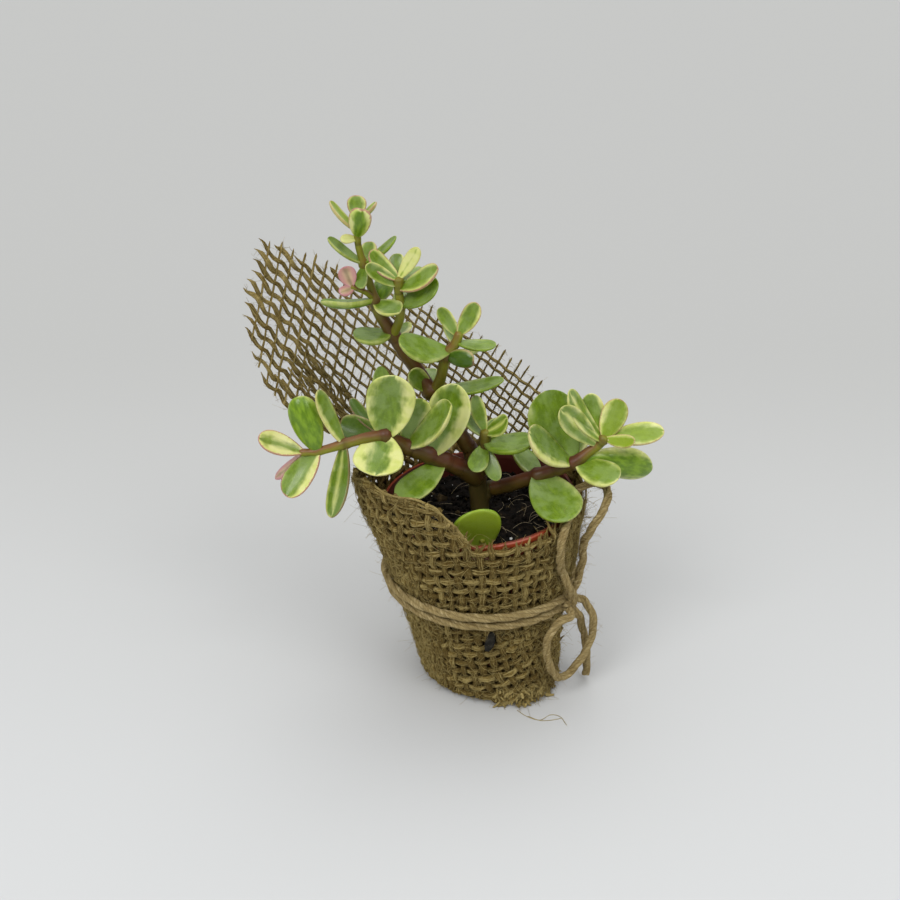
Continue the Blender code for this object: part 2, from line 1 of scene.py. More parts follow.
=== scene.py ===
"""Looks of the potted elephant bush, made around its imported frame.

Blender 4.5. Lengths are in millimetres, in the part's own frame, and are scaled by MM where a mesh is made.
The front of the object looks towards -Y.
"""
import math
import random

import bpy
import numpy as np
from mathutils import Matrix, Vector


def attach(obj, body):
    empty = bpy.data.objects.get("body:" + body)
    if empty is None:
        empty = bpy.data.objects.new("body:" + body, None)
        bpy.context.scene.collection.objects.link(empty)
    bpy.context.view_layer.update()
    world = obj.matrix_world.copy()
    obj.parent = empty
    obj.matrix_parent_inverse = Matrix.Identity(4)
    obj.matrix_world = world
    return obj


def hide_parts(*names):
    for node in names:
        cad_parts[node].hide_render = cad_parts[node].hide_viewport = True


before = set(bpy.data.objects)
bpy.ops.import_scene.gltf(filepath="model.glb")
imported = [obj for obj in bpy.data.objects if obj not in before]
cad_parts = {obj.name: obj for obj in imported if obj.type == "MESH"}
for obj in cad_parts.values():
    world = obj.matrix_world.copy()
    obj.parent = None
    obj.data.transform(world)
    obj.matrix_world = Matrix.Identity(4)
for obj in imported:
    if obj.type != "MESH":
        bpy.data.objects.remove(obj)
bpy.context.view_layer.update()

MM = 0.001
GAP = 0.3                   # free space between the twine and the cloth

# Camera
CAMERA_PLACE = (-9.5, -329.1, 258.0)
CAMERA_TILT = 62.41         # degrees from looking straight down
CAMERA_LENS = 44.7
CAMERA_SENSOR = 36.0

# Brightness of the sky at heights from the horizon to straight above, as a share of its strength
SKY_LEVELS = ((0.0, 0.46), (0.1, 0.46), (0.28, 0.17), (1.0, 1.0))
SKY_STRENGTH = 1.22
SKY_COLOUR = (0.97, 0.985, 1.0)
# Broad soft lights: the direction that each shines from, its spread in degrees and its power
LIGHTS = {
    "key": ((-0.6, -0.75, 1.0), 26.0, 0.95),
    "fill": ((0.6, -0.65, 1.0), 30.0, 0.6),
    "back": ((0.1, 0.5, 1.0), 40.0, 0.42),
}
FLOOR = 6.0                 # metres from the middle of the floor to a side

# Pot, as in the part's source
POT_HEIGHT = 65.0
POT_RIM_RADIUS = 33.0
POT_BASE_RADIUS = 22.5
POT_TILT = 4.0
POT_FOOT = (4.6, 0.0, 3.9)
SOIL_DEPTH = 7.0
SOIL_RADIUS = 29.0
# What lies on the soil: how many, the smallest and the largest
CRUMBS = (1500, 0.3, 1.15)
PERLITE = (36, 0.3, 0.85)
CHIPS = (26, 0.5, 2.2)
SOIL_ROOTS = 45
GRAIN_HEIGHTS = (-0.3, 0.5)  # above the soil's surface
GRAIN_RARITY = 2.5          # the higher, the fewer large ones
GRAIN_SIDES = 6
GRAIN_RINGS = ((-0.55, 0.75), (0.05, 1.0), (0.6, 0.7))  # height and radius

# Cloth, as in the part's source
CLOTH = 1.8
CLOTH_SLACK = 0.55
RIM_Z = 68.0
# Upper edge of the wrap: angle in degrees from +X, height
WRAP_EDGE = ((-180, 78.0), (-157, 81.0), (-142, 81.0), (-125, 82.5), (-113, 82.0), (-103, 76.0),
             (-96, 69.0), (-88, 67.0), (-62, 66.0), (-51, 68.5), (-40, 70.0), (-25, 70.5), (-10, 72.5),
             (4, 76.0), (25, 73.0), (50, 70.0), (150, 70.0), (165, 74.0), (180, 78.0))
# Outline of the standing corner in the plane of x and z
FLAP_OUTLINE = ((-70, 151), (-40, 133), (-10, 116), (19, 99), (31, 84), (34, 67), (-36, 67), (-42, 78),
                (-53, 88), (-66, 101), (-73, 116), (-75, 134))
FLAP_BACK = 38.5            # how far back the middle of the standing corner is
FLAP_MIDDLE = -2.0          # where the middle is at the rim's height, and how far it moves over with height
FLAP_LEAN = -0.17
FLAP_BULGE = 0.0165         # how strongly it curves forwards to either side at the rim's height
# Where the cloth stands off the pot: how far, about which angle, and over what spread of angles
BULGE_LEFT = (6.5, 187, 38)
BULGE_FOOT = (5.5, -58, 32)
BULGE_BACK = (2.6, 95, 40)
BULGE_LEFT_TOP = 78.0       # height at which the left bulge is whole
BULGE_FOOT_TOP = 28.0       # height at which the one at the foot is gone

# Weave
ROUND = 33.0                # millimetres of cloth to a radian round the pot
PITCH = 3.8                 # between neighbouring yarns on the front
YARN = 1.2                  # half width; a yarn is flattened against the cloth
YARN_FLAT = 0.6             # of the half width
YARN_SIDES = 6
YARN_THINNEST = 0.07
YARN_STEP = 1.0
DENSER = 1.22               # the cloth on the bias is drawn together
UNDER_OVER = 0.6            # how far a yarn swings to either side of the cloth
NET_SWING = 0.35            # the same in the standing corner, for the yarns that end in the left fringe
NET_STEEP = (0.12, -0.25)   # and for the steep ones, with how far they lie to the back of the middle
NET_CRIMP = 0.55            # sideways waves of the yarns towards the left fringe
NET_DENSITY = (0.75 * DENSER, 1.12)  # of each set, where 1 is a yarn to each pitch
NET_FALL = (0.8, -0.005)    # how the first set falls to the right: factors of x and of its square
NET_LEAN = (0.00001, 0.0038, 0.42)  # lean of the steep set: factors of x squared and of x, and lean at 0
NET_LEVEL = 100.0           # height at which the steep yarns are evenly spaced
FRINGE = -54.0              # yarns of the first set that come left of this end in the fringe
FRINGE_WAY = (-0.55, 0.83)  # direction in which they run out of the outline
# How far yarns stand out of the outline: in the fringe, elsewhere, and the steep ones
FRINGE_REACH = (0.5, 3.6)
EDGE_REACH = (0.3, 2.2)
STEEP_REACH = (1.2, 3.4)
FLAP_FREE = 74.0            # yarns end below this height hidden in the wrap
TURN_IN = 3.0               # radius of the bend where the cloth goes under the pot
LOWEST = 1.25               # height of the cloth's middle under the pot
UNDERSIDE = 9.0             # width of the turned-in border
UNDERSIDE_LAP = 6.0         # how far the woven disc under the pot reaches over that border
WRAP_TOP = 92.0             # above the wrap everywhere
LAST_EDGE = 39.0            # the frayed upright edge on the right, in millimetres round from the front
FIRST_EDGE = -178.0         # the other end of the strip, hidden under that edge
WANDER = ((9.0, 1.0), (3.2, 0.8))  # lengths and shares of the waves in which a yarn strays
HEM_END = -4.0              # the upper edge is folded up to here and frayed beyond
EDGE_LIFT = 1.2             # how far the yarns stand above the solid's edge
HEM_LIFT = (2.2, -149, 12)  # how much more at the left, about which angle and over what spread
FRONT_LIFT = (0.7, -45, 28)  # and the same at the front rim
HEM_START = -66.0
HEM_STRANDS = 5
HEM_STEP = 0.75             # between its strands
FOLDED_YARNS = 46
FOLD_TOP = (-71.0, 118.0)   # upper end of their bunch in the plane of x and z
FOLD_RUN = (27.0, -34.0)    # and the way to its lower end
LOOSE_STRANDS = 26
LOOSE_FROM = (-38.0, -2.0)  # angles at which they start
LOOSE_FOOT = 46.0           # height at which they end
TUFT_ENDS = 110
TUFT_ANGLES = (-86, -36)
LINING_STEP = 1.7
LINING_DEPTH = 2.35         # inside the wrap's outer face
LINING_HEIGHTS = (2.0, 72.0)
# Loose fibres: how many, their own random draw, the longest, their thickness and the points on each
WRAP_HAIRS = (6500, 5, 3.2, 0.065, 3)
NET_HAIRS = (4200, 6, 3.2, 0.07, 3)
LOOSE_FIBRES = (2200, 8, 6.5, 0.045, 4)
EDGE_FIBRES = (320, 12, 9.0, 0.06, 5)
TWINE_HAIRS = (2600, 6, 3.2, 0.05, 3)
TWINE_FIBRES = (200, 13, 8.5, 0.055, 5)
FACE_FIBRES = (2000, 9.0)   # how many lie across the wrap's face, and the longest
SCRAP_ANGLE = (-86.0, -90.0)  # the scrap's upper and lower end
SCRAP_HEIGHT = (34.0, 25.5)
# Two fibres that have fallen to the ground
FALLEN_THICKNESS = 0.1
FALLEN_HEIGHT = 0.15
FALLEN_FIBRES = (((13.6, -29.2), (16.8, -32.5), (21.2, -34.3), (24.8, -31.7), (28.1, -32.5), (30.0, -36.8)),
                 ((17.2, -32.3), (21.1, -34.5), (25.2, -34.3), (28.7, -33.3)))

# Twine
TWINE = 2.8
TWINE_LAY = 23.0            # length of one full twist
TWINE_STEP = 0.7
PLY = 0.262                 # radius of each of the three plies, of the diameter
PLY_SWELL = (1.12, 0.07)    # how much fuller the plies are than that, and how much this varies
TURN_Z = 41.5
TURN_STEP = 3.8             # the lower turn runs this much lower
TURN_POINTS = 300
TURN_DROP = (3.5, 0, 45)    # the turns run lower towards the knot: how far, about which angle, what spread
KNOT_ANGLE = -30.0
KNOT_SIZE = (2.4, 4.0, 3.6)  # half sizes outwards, along the turns and upwards
# Strands of the knot in shares of its half sizes
KNOT_STRANDS = (
    ((-0.7, -0.35, 0.5), (-0.1, -0.35, 0.95), (0.6, -0.3, 0.55), (0.75, -0.15, -0.15), (0.3, 0.0, -0.85),
     (-0.5, 0.15, -0.7)),
    ((-0.7, 0.3, 0.35), (-0.1, 0.35, 0.9), (0.62, 0.3, 0.5), (0.7, 0.2, -0.3), (0.1, 0.1, -0.9)),
    ((-0.1, -0.95, 0.1), (0.3, -0.6, 0.0), (0.45, 0.0, 0.1), (0.3, 0.6, 0.1), (-0.1, 0.95, 0.0)),
    ((-0.3, -0.8, -0.5), (0.2, -0.5, -0.45), (0.3, 0.1, -0.5), (0.1, 0.7, -0.4)),
)
KNOT_TWINE = 0.92           # its strands are drawn thinner
# Free twine: the way it leaves the knot (outwards, along the turns, upwards), the points that it passes
# and the way it comes back
TWINE_STARTS = {
    "twine_loop_upper": (0.36, -0.53, 0.77),
    "twine_loop_lower": (0.5, 0.8, -0.3),
    "twine_tail": (0.6, 0.05, -0.8),
}
TWINE_ROUTES = {
    "twine_loop_upper": ((30.0, -23.0, 46.6), (27.0, -23.3, 53.6), (25.8, -27.7, 61.0), (25.8, -28.6, 66.5),
                         (26.6, -26.6, 70.4), (28.1, -23.0, 72.4), (29.4, -17.6, 72.3), (30.1, -9.9, 73.5),
                         (32.6, -6.4, 74.6), (36.3, -5.6, 76.2), (40.0, -7.5, 77.4), (42.0, -11.9, 77.3),
                         (40.7, -17.4, 74.8), (36.3, -20.0, 67.5), (34.5, -16.5, 59.6), (34.8, -14.4, 51.4)),
    "twine_loop_lower": ((37.6, -15.0, 34.0), (39.4, -16.0, 30.0), (39.8, -16.2, 24.7), (38.6, -17.2, 19.5),
                         (35.8, -18.8, 13.8), (32.0, -20.8, 9.8), (28.0, -23.2, 9.4), (24.8, -25.6, 15.5),
                         (23.0, -26.4, 23.6), (23.8, -26.2, 29.8), (27.2, -24.2, 33.6)),
    "twine_tail": ((35.2, -14.2, 28.6), (36.9, -12.8, 21.6), (38.3, -12.5, 15.2), (39.0, -12.2, 8.2),
                   (39.0, -12.0, 2.2)),
}
TWINE_RETURNS = {
    "twine_loop_upper": (0.23, 0.37, 0.9),
    "twine_loop_lower": (0.55, -0.75, -0.35),
}

# Directions that the upper side of a leaf looks in
FACES = {
    "front": (0.0, -0.87, 0.5),
    "back": (0.0, 0.87, -0.2),
    "up": (0.0, -0.1, 1.0),
    "level": (0.0, 0.25, 0.97),
    "upfront": (0.0, -0.55, 0.83),
    "upback": (0.0, 0.5, 0.86),
    "leftup": (-0.75, -0.15, 0.65),
    "rightup": (0.75, -0.15, 0.65),
    "leftfront": (-0.55, -0.75, 0.35),
    "rightfront": (0.65, -0.65, 0.4),
}

# Every shoot is a route of (x, y, z, radius) and leaves of (place along it, tip, width, facing)
TALL_STEM = (
    (((-3.5, 1.5, 86.5, 2.7), (-6.5, 1, 92, 2.6), (-11, 1, 100, 2.6), (-16, 2, 107, 2.5),
      (-20, 3, 113.5, 2.4), (-24.5, 4, 120, 2.3), (-30, 5, 129, 2.1), (-32.5, 5, 133.5, 1.8),
      (-33.5, 5, 138, 1.4), (-35, 6, 143, 1.25), (-37.5, 6, 152.5, 1.1), (-38, 6, 157, 1.0),
      (-38, 6, 164, 0.8)),
     ((0.99, (-38, 9, 169), 6, "front", "rimmed"), (0.92, (-36, 1, 167), 7, "back", "band"),
      (0.94, (-46, 6, 168), 5, "rightup", "young"), (0.98, (-32, 9, 167), 4, "leftup", "young"),
      (0.91, (-43, 3, 157), 3, "front", "pale"), (0.82, (-47, 4, 157), 5.5, "rightup", "green"),
      (0.82, (-26, 6, 157), 5.5, "leftup", "green"), (0.81, (-37, -2, 143), 4, "front", "green"),
      (0.81, (-35, 14, 153), 6, "upback", "rimmed"), (0.68, (-50, 2, 137), 10, "level", "green"),
      (0.67, (-25, -7, 137), 7.5, "upfront", "margin"), (0.67, (-29, 15, 141), 6.5, "back", "green"),
      (0.54, (-40, 1, 126), 11, "up", "green"), (0.52, (-25, 18, 124), 8, "upback", "margin"),
      (0.28, (-22, -3, 116), 6.5, "front", "margin"), (0.27, (8, 1, 111), 8, "up", "green"),
      (0.27, (-16, 17, 108), 8, "upback", "margin"))),
    (((-33.5, 5, 137, 0.9), (-35.5, 2.5, 140, 0.9), (-37.5, 1, 141.5, 0.8), (-40, 0, 143, 0.7)),
     ((0.98, (-42, 1, 149), 5.6, "front", "pink"), (0.9, (-43.5, -3, 142), 3.4, "front", "pink"))),
    (((-28, 4.5, 124.5, 1.6), (-25.5, 2, 131, 1.5), (-25, 2, 136, 1.45), (-25.5, 2, 141, 1.35),
      (-25.5, 2, 145, 1.1)),
     ((0.98, (-34, 0, 154), 6.5, "upfront", "rimmed"), (0.9, (-35, -4, 151), 5, "front", "margin"),
      (0.98, (-19, 1, 155), 4.6, "front", "pale"), (0.95, (-18, 9, 146), 5, "up", "green"),
      (0.84, (-13, -4, 150), 8, "upfront", "rimmed"), (0.6, (-13, -3, 145), 9, "upfront", "green"),
      (0.98, (-26, 8, 151), 5, "front", "margin"), (0.55, (-24, 14, 138), 7, "upback", "green"))),
    (((-15, 1.5, 106, 1.9), (-12.5, 0, 112, 1.8), (-11.5, -1, 117.5, 1.7), (-10, -2, 122, 1.6),
      (-8, -2, 124.5, 1.4), (-6.5, -2, 128.5, 1.1)),
     ((0.71, (-25, -12, 129), 11, "upfront", "green"), (0.97, (-1, -1, 138), 6, "front", "rimmed"),
      (0.95, (-13, 0, 136), 4.6, "front", "margin"), (0.82, (-11, 7, 131), 4, "front", "margin"),
      (0.87, (5, -4, 125), 7, "up", "green"), (0.62, (-2, -9, 122), 6, "back", "dark"),
      (0.59, (-17, 7, 119), 6, "back", "green"), (0.66, (-1, 10, 118), 8, "upback", "margin"))),
)
LEFT_STEM = (
    (((-6, -4, 81.5, 3.1), (-11, -6, 85, 3.0), (-17.5, -8, 89, 2.8), (-23.5, -9, 92, 2.5),
      (-27.5, -11, 95.5, 2.1), (-30.5, -12, 97.5, 1.9), (-36.5, -14, 97.5, 1.8), (-43, -15, 96, 1.6),
      (-51, -17, 94.5, 1.3), (-57, -17, 94, 0.9)),
     ((0.52, (-26, -16, 120), 15.5, "front", "right"), (0.53, (-33, -25, 90), 16, "upfront", "patches"),
      (0.53, (-45, -4, 98), 8.5, "front", "dark"), (0.52, (-42, 2, 104), 5, "up", "dark"),
      (0.51, (-32, 3, 115), 7, "front", "green"), (0.75, (-50, -18, 116), 6, "rightfront", "left"),
      (0.75, (-47, -27, 76), 8, "leftfront", "fold"), (0.9, (-57, -14, 112), 10, "back", "green"),
      (0.98, (-69, -20, 101), 8, "upfront", "blush"), (0.9, (-61, -24, 82), 9.5, "upfront", "blush_left"),
      (0.97, (-67, -8, 80), 5, "upfront", "pink"), (0.36, (-18, -7, 108), 10, "front", "cream"),
      (0.22, (-7, -7, 113), 14, "front", "right"), (0.36, (-9, -20, 112), 10.5, "upfront", "margin"),
      (0.12, (-26, -24, 81), 10, "upfront", "green"), (0.3, (-27, 7, 92), 8, "upback", "margin"))),
)
CENTRE_STEM = (
    (((2.5, -2.5, 84.5, 1.9), (2, -3, 89.5, 1.7), (2, -3.5, 95, 1.3)),
     ((0.95, (-1.5, 0, 106), 5, "front", "margin"), (0.9, (9, -7, 101), 7, "upfront", "stripe"),
      (0.78, (-6, 2, 99), 5, "up", "green"), (0.58, (17, -10, 93.5), 13, "up", "green"),
      (0.5, (-2, -13, 85), 6.6, "front", "green"), (0.45, (6, -12, 81), 5.4, "front", "green"),
      (0.73, (8, 12, 92), 8, "upback", "margin"))),
)
RIGHT_STEM = (
    (((5, 0, 71.5, 2.7), (10.5, -2, 74, 2.6), (17, -4, 77.5, 2.5), (24, -6, 81.5, 2.3), (31, -8, 85.5, 2.0),
      (35.5, -8, 89.5, 1.7), (38.5, -8, 92, 1.4), (40.5, -8, 95, 1.1)),
     ((0.67, (21, -1, 108), 16.5, "front", "green"), (0.68, (15, -17, 101), 11.5, "upfront", "left"),
      (0.71, (44, -19, 85.5), 10.5, "upfront", "margin"), (0.75, (58, -2, 80), 11, "back", "margin"),
      (0.39, (27.6, -28, 75.6), 16, "upfront", "green"), (0.92, (25, -14, 108), 8.5, "front", "stripe"),
      (0.96, (28, -9, 112), 7.5, "rightfront", "stripe"), (0.97, (35, -3, 108), 8, "front", "margin"),
      (0.99, (45, -5, 107), 8.5, "front", "young"), (0.99, (59, -10, 98), 8.5, "upfront", "young"),
      (0.98, (49, -15, 97), 4.5, "front", "young"), (0.57, (35, 11, 88), 10, "upback", "margin"),
      (0.38, (14, 10, 82), 9, "upback", "green"))),
)
TRUNK_ROUTE = ((0.8, 0.0, 50.5, 3.0), (0.8, 0.0, 62.0, 3.0), (0.2, -0.3, 70.0, 3.2), (-0.5, -0.8, 77.0, 3.4))
SOIL_LEAF_ROUTE = ((2.0, -19.0, 54.5, 1.0), (1.2, -22.4, 62.6, 1.0), (0.8, -24.0, 66.0, 0.9))
# Its plain look is painted light, lighter than its own green
SOIL_LEAF = (0.7, (-2.0, -30.0, 80.2), 16.0, "front", "plain")
SHOOTS = {
    "leafy_stem_tall": TALL_STEM,
    "leafy_stem_left": LEFT_STEM,
    "leafy_stem_centre": CENTRE_STEM,
    "leafy_stem_right": RIGHT_STEM,
    "soil_leaf": ((SOIL_LEAF_ROUTE, (SOIL_LEAF,)),),
}
RIGHT_FORK = (0.3, -0.3, 66.0)  # where the right arm leaves the trunk
HIGH_FORK = (-0.5, -0.8, 76.0)  # and where the others do

# Stem form
STEM_STEP = 1.0
STEM_SIDES = 14
JOINT = (0.12, 1.3)         # how much a stem swells at a leaf, and over what length
SCAR = (-1.6, 0.35)         # where the ring under a leaf lies from its middle, and how wide it is
OLD_SCAR = (0.8, 0.3)       # strength and width of the rings of fallen leaves
SCAR_DEPTH = 0.06           # of the radius
TRUNK_STEP = 0.8
TRUNK_SIDES = 18
ARM_SWELL = 1.1             # how much thicker an arm is at its fork than at its stem
ARM_ENDS = (-2.0, 0.6)      # where an arm's last two points lie along its stem, from the stem's start
WOOD_TOP = (81.0, 8.0)      # height at which the woody skin ends, and over what length it fades in

# Leaf form
LEAF_RINGS = 26
LEAF_LOWER_RINGS = 14       # of them below its widest place
LEAF_SECTIONS = 20
LEAF_WIDEST = 0.62          # place along the blade
LEAF_STALK = 0.2            # half width at the stem, as a share
LEAF_DEEPEST = 0.4          # place along the blade
LEAF_UPPER = 0.7            # height of the upper side, of half the thickness
LEAF_LOWER = 1.1            # and of the lower side
LEAF_SQUARENESS = (0.7, 0.62)  # across and through the blade; 1 gives a round section
LEAF_CUP = 0.24
LEAF_BEND = 0.07
LEAF_THICKNESS = 0.24       # of the width
LEAF_THINNEST = 1.5
LEAF_THICKEST = 2.9
# Leaf colours: width of the cream margin on the left and on the right as a share of the half width, strength
# of the pink rim, strength of a cream stripe down the middle, and lightness
LOOKS = {
    "green": (0.05, 0.0, 0.05, 0.0, 0.0),
    # The plain look's full lightness is painted light: it makes up for the shade that the leaves above cast
    # on the leaf on the soil
    "plain": (0.0, 0.0, 0.0, 0.0, 1.0),
    "dark": (0.0, 0.06, 0.4, 0.0, -0.7),
    "margin": (0.08, 0.16, 0.1, 0.0, 0.0),
    "right": (0.12, 0.42, 0.0, 0.0, 0.0),
    "cream": (0.1, 0.5, 0.0, 0.0, 0.0),
    "left": (0.36, 0.06, 0.3, 0.0, 0.0),
    "patches": (0.54, 0.42, 0.1, 0.0, 0.0),
    "stripe": (0.1, 0.1, 0.1, 0.9, -0.15),
    "band": (0.36, 0.36, 0.8, 0.0, 0.5),
    "pale": (0.85, 0.85, 0.2, 0.0, 0.8),
    "fold": (0.0, 0.12, 0.4, 0.6, -0.5),
    "blush": (0.55, 0.5, 1.05, 0.0, 0.3),
    "blush_left": (0.5, 0.05, 0.9, 0.0, 0.2),
    "rimmed": (0.16, 0.26, 0.7, 0.0, 0.1),
    "pink": (0.6, 0.6, 1.8, 0.0, 0.0),
    "young": (0.26, 0.1, 0.6, 0.0, 0.7),
}

# Meshes
TUBE_END = 0.4              # how far the tip of a tube stands out, as a share of its radius
FIBRE_RUN = 0.25            # how fast the fibre values change along a tube
HALVINGS = 22


def placed(name, data):
    """A new object in the scene."""
    obj = bpy.data.objects.new(name, data)
    bpy.context.collection.objects.link(obj)
    return obj


def dress(node, finish):
    """Gives a node of the frame this material alone."""
    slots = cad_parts[node].data.materials
    slots.clear()
    slots.append(finish)


def unit(rows):
    """Rows of vectors scaled to length one."""
    return rows / np.maximum(np.linalg.norm(rows, axis=-1, keepdims=True), 1e-9)


class Pile:
    """Tubes and blades gathered into one mesh, with named values at their points."""

    def __init__(self):
        self.points = []
        self.faces = []
        self.values = {}
        self.count = 0

    def add(self, points, faces, **values):
        self.points.append(points)
        for rows in faces:
            self.faces.extend((rows + self.count).tolist())
        for name, value in values.items():
            value = np.asarray(value, float)
            shape = (len(points),) + ((3,) if value.ndim and value.shape[-1] == 3 else ())
            self.values.setdefault(name, []).append(np.broadcast_to(value, shape))
        self.count += len(points)

    def piece(self, name, finish, slot=None, replaces=()):
        """Makes the piece, which rides on the one body."""
        mesh = bpy.data.meshes.new(name)
        points = np.concatenate(self.points) * MM
        points[:, 2] = np.maximum(points[:, 2], 0.0)
        mesh.from_pydata(points.tolist(), [], self.faces)
        for label, rows in self.values.items():
            rows = np.concatenate(rows)
            vector = rows.ndim == 2
            attribute = mesh.attributes.new(label, "FLOAT_VECTOR" if vector else "FLOAT", "POINT")
            attribute.data.foreach_set("vector" if vector else "value", rows.ravel().astype(np.float32))
        mesh.shade_smooth()
        mesh.materials.append(finish)
        obj = placed(name, mesh)
        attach(obj, "root")
        if replaces:
            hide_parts(*replaces)
        return obj


def skin(rings, sides, closed=False):
    """Faces of a tube: quads between its rings, and a fan to a tip point at each end if it isn't closed."""
    k = np.arange(sides)
    after = (k + 1) % sides
    ring = np.arange(rings if closed else rings - 1)[:, None]
    here, there = ring * sides, (ring + 1) % rings * sides
    quads = np.stack([here + k, here + after, there + after, there + k], axis=-1).reshape(-1, 4)
    if closed:
        return [quads]
    first, last = rings * sides, (rings - 1) * sides
    fans = np.concatenate([np.stack([np.full(sides, first), after, k], axis=-1),
                           np.stack([np.full(sides, first + 1), last + k, last + after], axis=-1)])
    return [quads, fans]


def distance_along(points):
    steps = np.linalg.norm(np.diff(points, axis=0), axis=1)
    return np.concatenate([[0.0], np.cumsum(steps)])


def axes(points, ups, closed=False):
    """The directions along a line at its points, across it, and nearest to ups at right angles to both."""
    if closed:
        tangents = unit(np.roll(points, -1, axis=0) - np.roll(points, 1, axis=0))
    else:
        tangents = unit(np.gradient(points, axis=0))
    across = unit(np.cross(tangents, ups))
    return tangents, across, np.cross(across, tangents)


def at_points(value, sides, closed):
    """A value for a whole tube, or one for each of its rings, given to its points."""
    value = np.asarray(value, float)
    if not value.ndim:
        return value
    body = np.repeat(value, sides)
    return body if closed else np.concatenate([body, [value[0], value[-1]]])


def tube(pile, points, radii, sides, ups, closed=False, lay=9.0, flat=1.0, **values):
    """Adds a tube, flattened along ups. Its fibre values follow a twist of one turn in lay."""
    points = np.asarray(points, float)
    radii = np.broadcast_to(np.asarray(radii, float), len(points))
    tangents, across, ups = axes(points, ups, closed)
    turn = 2 * math.pi * np.arange(sides) / sides
    ring = ups[:, None] * np.cos(turn)[:, None] * flat + across[:, None] * np.sin(turn)[:, None]
    shell = (points[:, None] + ring * radii[:, None, None]).reshape(-1, 3)
    along = distance_along(points)[:, None]
    twist = turn[None] + 2 * math.pi * along / lay
    fibre = [np.cos(twist), np.sin(twist), np.broadcast_to(along * FIBRE_RUN, twist.shape)]
    fibre = np.stack(fibre, axis=-1).reshape(-1, 3)
    if not closed:
        stand = tangents * (radii * TUBE_END)[:, None]
        shell = np.concatenate([shell, [points[0] - stand[0], points[-1] + stand[-1]]])
        fibre = np.concatenate([fibre, fibre[:1], fibre[-1:]])
    values = {name: at_points(value, sides, closed) for name, value in values.items()}
    if "age" in values:
        upward = ring[..., 2].ravel()
        values["skyward"] = upward if closed else np.concatenate([upward, [0.0, 0.0]])
    pile.add(shell, skin(len(points), sides, closed), fibre=fibre, **values)


def carried(points):
    """A direction at right angles to a free line at each of its points, carried along it without twist."""
    points = np.asarray(points, float)
    tangents = unit(np.gradient(points, axis=0))
    side = np.cross(tangents[0], (0.3, 0.2, 0.9))
    sides = []
    for tangent in tangents:
        side = side - tangent * side.dot(tangent)
        side = side / np.linalg.norm(side)
        sides.append(side)
    return np.array(sides)


def smooth_route(points, step):
    """Points about one step apart on a smooth curve through the given ones, each with its radius, if any."""
    rows = [Vector(p[:3]) for p in points]
    extra = [p[3] if len(p) > 3 else 0.0 for p in points]
    route = []
    for i in range(len(rows) - 1):
        before, after = rows[max(i - 1, 0)], rows[min(i + 2, len(rows) - 1)]
        count = max(1, round((rows[i + 1] - rows[i]).length / step))
        for k in range(count):
            t = k / count
            a = 2 * rows[i]
            b = rows[i + 1] - before
            c = 2 * before - 5 * rows[i] + 4 * rows[i + 1] - after
            d = 3 * rows[i] - before - 3 * rows[i + 1] + after
            point = 0.5 * (a + b * t + c * t * t + d * t ** 3)
            route.append((point, extra[i] + (extra[i + 1] - extra[i]) * t))
    route.append((rows[-1], extra[-1]))
    return route


def lines(route):
    """The points and the radii of a route as arrays."""
    return np.array([tuple(p) for p, _ in route]), np.array([r for _, r in route])


# Materials

